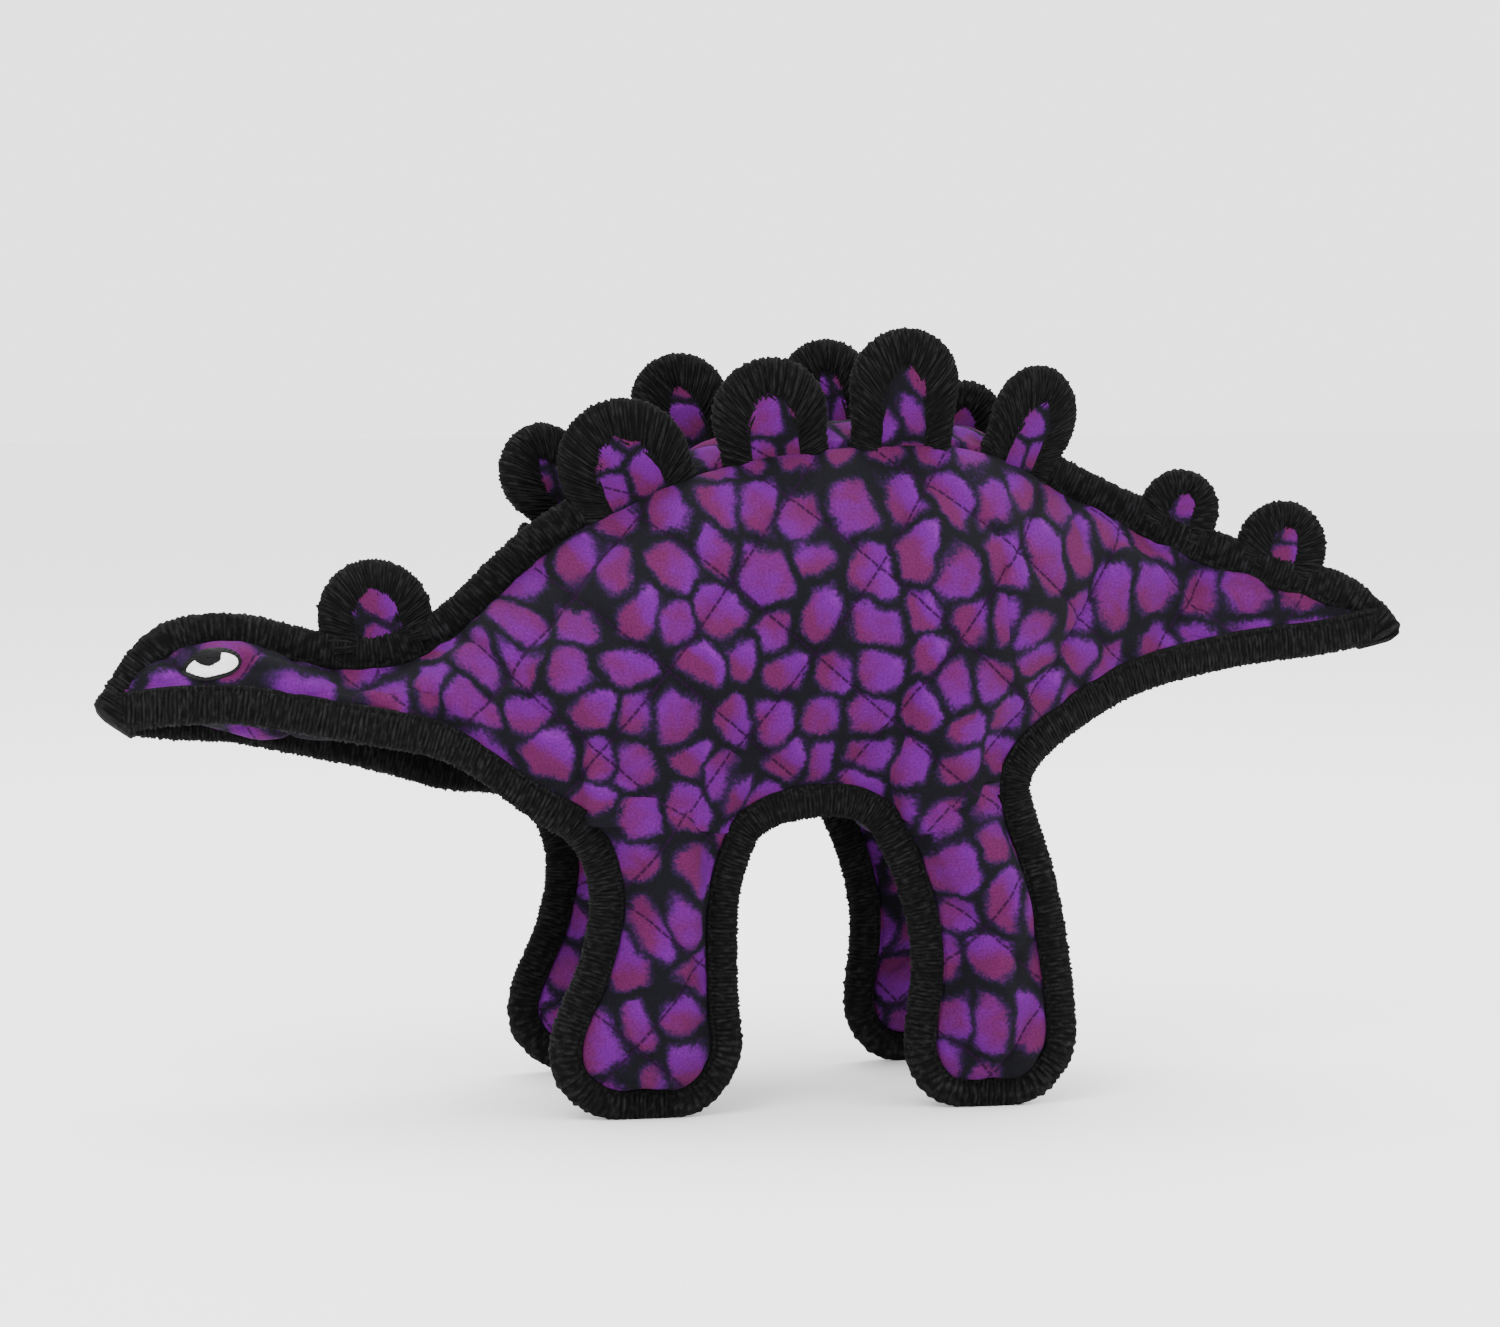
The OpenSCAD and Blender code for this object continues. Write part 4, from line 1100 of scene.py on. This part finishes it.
def make_eye(side, tree):
    """Satin-stitched eye on the finished side of the head: black oval, white, and a pupil under the brow."""
    sign = -1 if side == "left" else 1

    def on_head(u, w, lift):
        x = eye_at[0] + u * math.cos(eye_tilt) - w * math.sin(eye_tilt)
        z = eye_at[1] + u * math.sin(eye_tilt) + w * math.cos(eye_tilt)
        out = []
        for px, pz, rise in zip(x, z, lift):
            start = Vector((px * MM, sign * 0.06, pz * MM))
            hit, normal, _, _ = tree.ray_cast(start, Vector((0, -sign, 0)))
            out.append(np.array(hit) / MM + np.array(normal) * rise)
        return roll(np.array(out))

    def patch(name, at, long, high, lift, stuff, pitch, radial):
        rings, around = 10, 220
        r = np.concatenate([[0.03], np.linspace(0.12, 0.97, rings - 1), [1.0, 1.02]])
        a = np.linspace(0, 2 * math.pi, around, endpoint=False)
        u = at[0] + (r[:, None] * long * np.cos(a)).ravel()
        w = at[1] + (r[:, None] * high * np.sin(a)).ravel()
        strand = np.tile(a * around / 8, len(r)) if radial else (0.94 * w + 0.34 * u) * 2 * math.pi / pitch
        edge = np.repeat(np.concatenate([np.sqrt(np.clip(1 - r[:-2] ** 6, 0.1, 1)), [0.35, -1.2]]), around)
        height = np.where(edge > 0, lift * (0.55 + 0.45 * edge) + 0.09 * np.sin(strand), -0.5)
        points = on_head(u, w, height)
        quads = ring_quads(np.arange(len(r) * around).reshape(len(r), around))
        middle = list(range(around))[::sign]
        piece = new_object(f"{name}_{side}_stitched", points, quads if sign > 0 else quads[:, ::-1], [middle])
        set_values(piece, "cloth", np.stack([w, u, u * 0] if not radial else [u, w, u * 0], axis=1))
        piece.data.materials.append(stuff)
        bend(piece, "head")
        return piece

    rim = patch("eye_black", (0, 0), 9.4, 5.3, 0.7, thread_black, 0.5, True)
    white = patch("eye_white", (0.3, -0.5), 7.8, 3.6, 1.25, thread_white, 0.55, False)
    patch("eye_pupil", (-0.4, 2.1), 4, 2.8, 1.6, thread_black, 0.45, False)
    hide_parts(f"eye_black_{side}")
    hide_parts(f"eye_white_{side}")


# ---- Filling ----

def make_wadding():
    """Lumps of loose filling in place of the smooth lobes."""
    bodies = {"torso_filling_front": "torso", "torso_filling_rear": "torso", "head_filling": "head",
              "tail_filling": "tail"}
    bodies.update({f"leg_filling_{leg}": f"leg_{leg}" for leg in legs})
    for number, (node, body) in enumerate(bodies.items()):
        piece = linked(node + "_wadding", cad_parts[node].data.copy())
        remesh = piece.modifiers.new("Remesh", "REMESH")
        remesh.mode, remesh.voxel_size = "VOXEL", 0.0042
        mesh = baked_mesh(piece)
        p = places(mesh) / MM
        normals = np.zeros(len(p) * 3, np.float32)
        mesh.vertices.foreach_get("normal", normals)
        depth = 4.6 if body in ("head", "tail") else 2.9
        dent = depth + 0.7 * wave_noise(p, 22, 300 + number) + 0.35 * wave_noise(p, 9, 320 + number)
        p -= normals.reshape(-1, 3) * np.maximum(dent, 0)[:, None]
        mesh.vertices.foreach_set("co", (p * MM).astype(np.float32).ravel())
        mesh.materials.clear()
        mesh.materials.append(wadding)
        mesh.shade_smooth()
        piece = linked(node + "_wadding", mesh)
        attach(piece, body)
        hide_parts(node)


# ---- Squeaker: its CAD pieces keep their shape ----

def finish_squeaker():
    finishes = {
        "squeaker_pouch": plain_material("pouch", srgb("#2b2631"), srgb("#4a4253"), 0.9, 260, 0.3, True),
        "squeaker_bulb": plain_material("vinyl", srgb("#dcd2ab"), srgb("#efe6c6"), 0.35, 60),
        "squeaker_reed": plain_material("reed", srgb("#c9c9c6"), srgb("#dcdcd9"), 0.5, 90)}
    for node, stuff in finishes.items():
        for k in range(max(1, len(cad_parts[node].data.materials))):
            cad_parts[node].material_slots[k].material = stuff


# ---- Studio ----

view_turn = math.radians(11.5)
view_far, view_high = 1.5, 0.27
view_at = (-0.005, 0, 0.142)


def make_studio():
    floor_size = 6
    mesh = bpy.data.meshes.new("floor")
    corners = [(-1, -1), (1, -1), (1, 1), (-1, 1)]
    mesh.from_pydata([(x * floor_size, y * floor_size, 0) for x, y in corners], [], [(0, 1, 2, 3)])
    floor = linked("floor", mesh)
    n = Nodes("floor")
    mesh.materials.append(n.finish(Base_Color=(0.93, 0.93, 0.93, 1), Roughness=0.9))

    world = bpy.data.worlds.new("studio")
    bpy.context.scene.world = world
    world.use_nodes = True
    back = world.node_tree.nodes["Background"]
    back.inputs["Color"].default_value = (1, 1, 1, 1)
    back.inputs["Strength"].default_value = 2.7

    def lamp(name, place, energy, size):
        light = bpy.data.lights.new(name, "AREA")
        light.energy, light.size = energy, size
        obj = linked(name, light)
        obj.location = place
        obj.rotation_euler = (Vector((0, 0, 0.12)) - Vector(place)).to_track_quat("-Z", "Y").to_euler()

    lamp("key", (-0.9, -1.1, 1.5), 24, 0.9)
    lamp("fill", (1.2, -1.2, 0.8), 10, 1.2)
    lamp("top", (0.1, 0.5, 1.6), 26, 1.2)

    camera = linked("camera", bpy.data.cameras.new("camera"))
    camera.data.lens, camera.data.sensor_width = 109.5, 36
    camera.data.dof.use_dof = False
    camera.location = (-view_far * math.sin(view_turn) - 0.005, -view_far * math.cos(view_turn), view_high)
    camera.rotation_euler = (Vector(view_at) - camera.location).to_track_quat("-Z", "Y").to_euler()
    bpy.context.scene.camera = camera


# ---- The toy ----

skin, welded_points = make_skin()
panel_trees = make_panels(skin, welded_points)
make_low_tapes("left", 1)
make_low_tapes("right", -1)
make_crest_tapes()
make_far_forks()
for plate_number, plate in enumerate(plates, 1):
    make_plate(plate_number, *plate)
make_eye("left", panel_trees[SIDE])
make_eye("right", panel_trees[SIDE + 1])
make_wadding()
finish_squeaker()
make_studio()
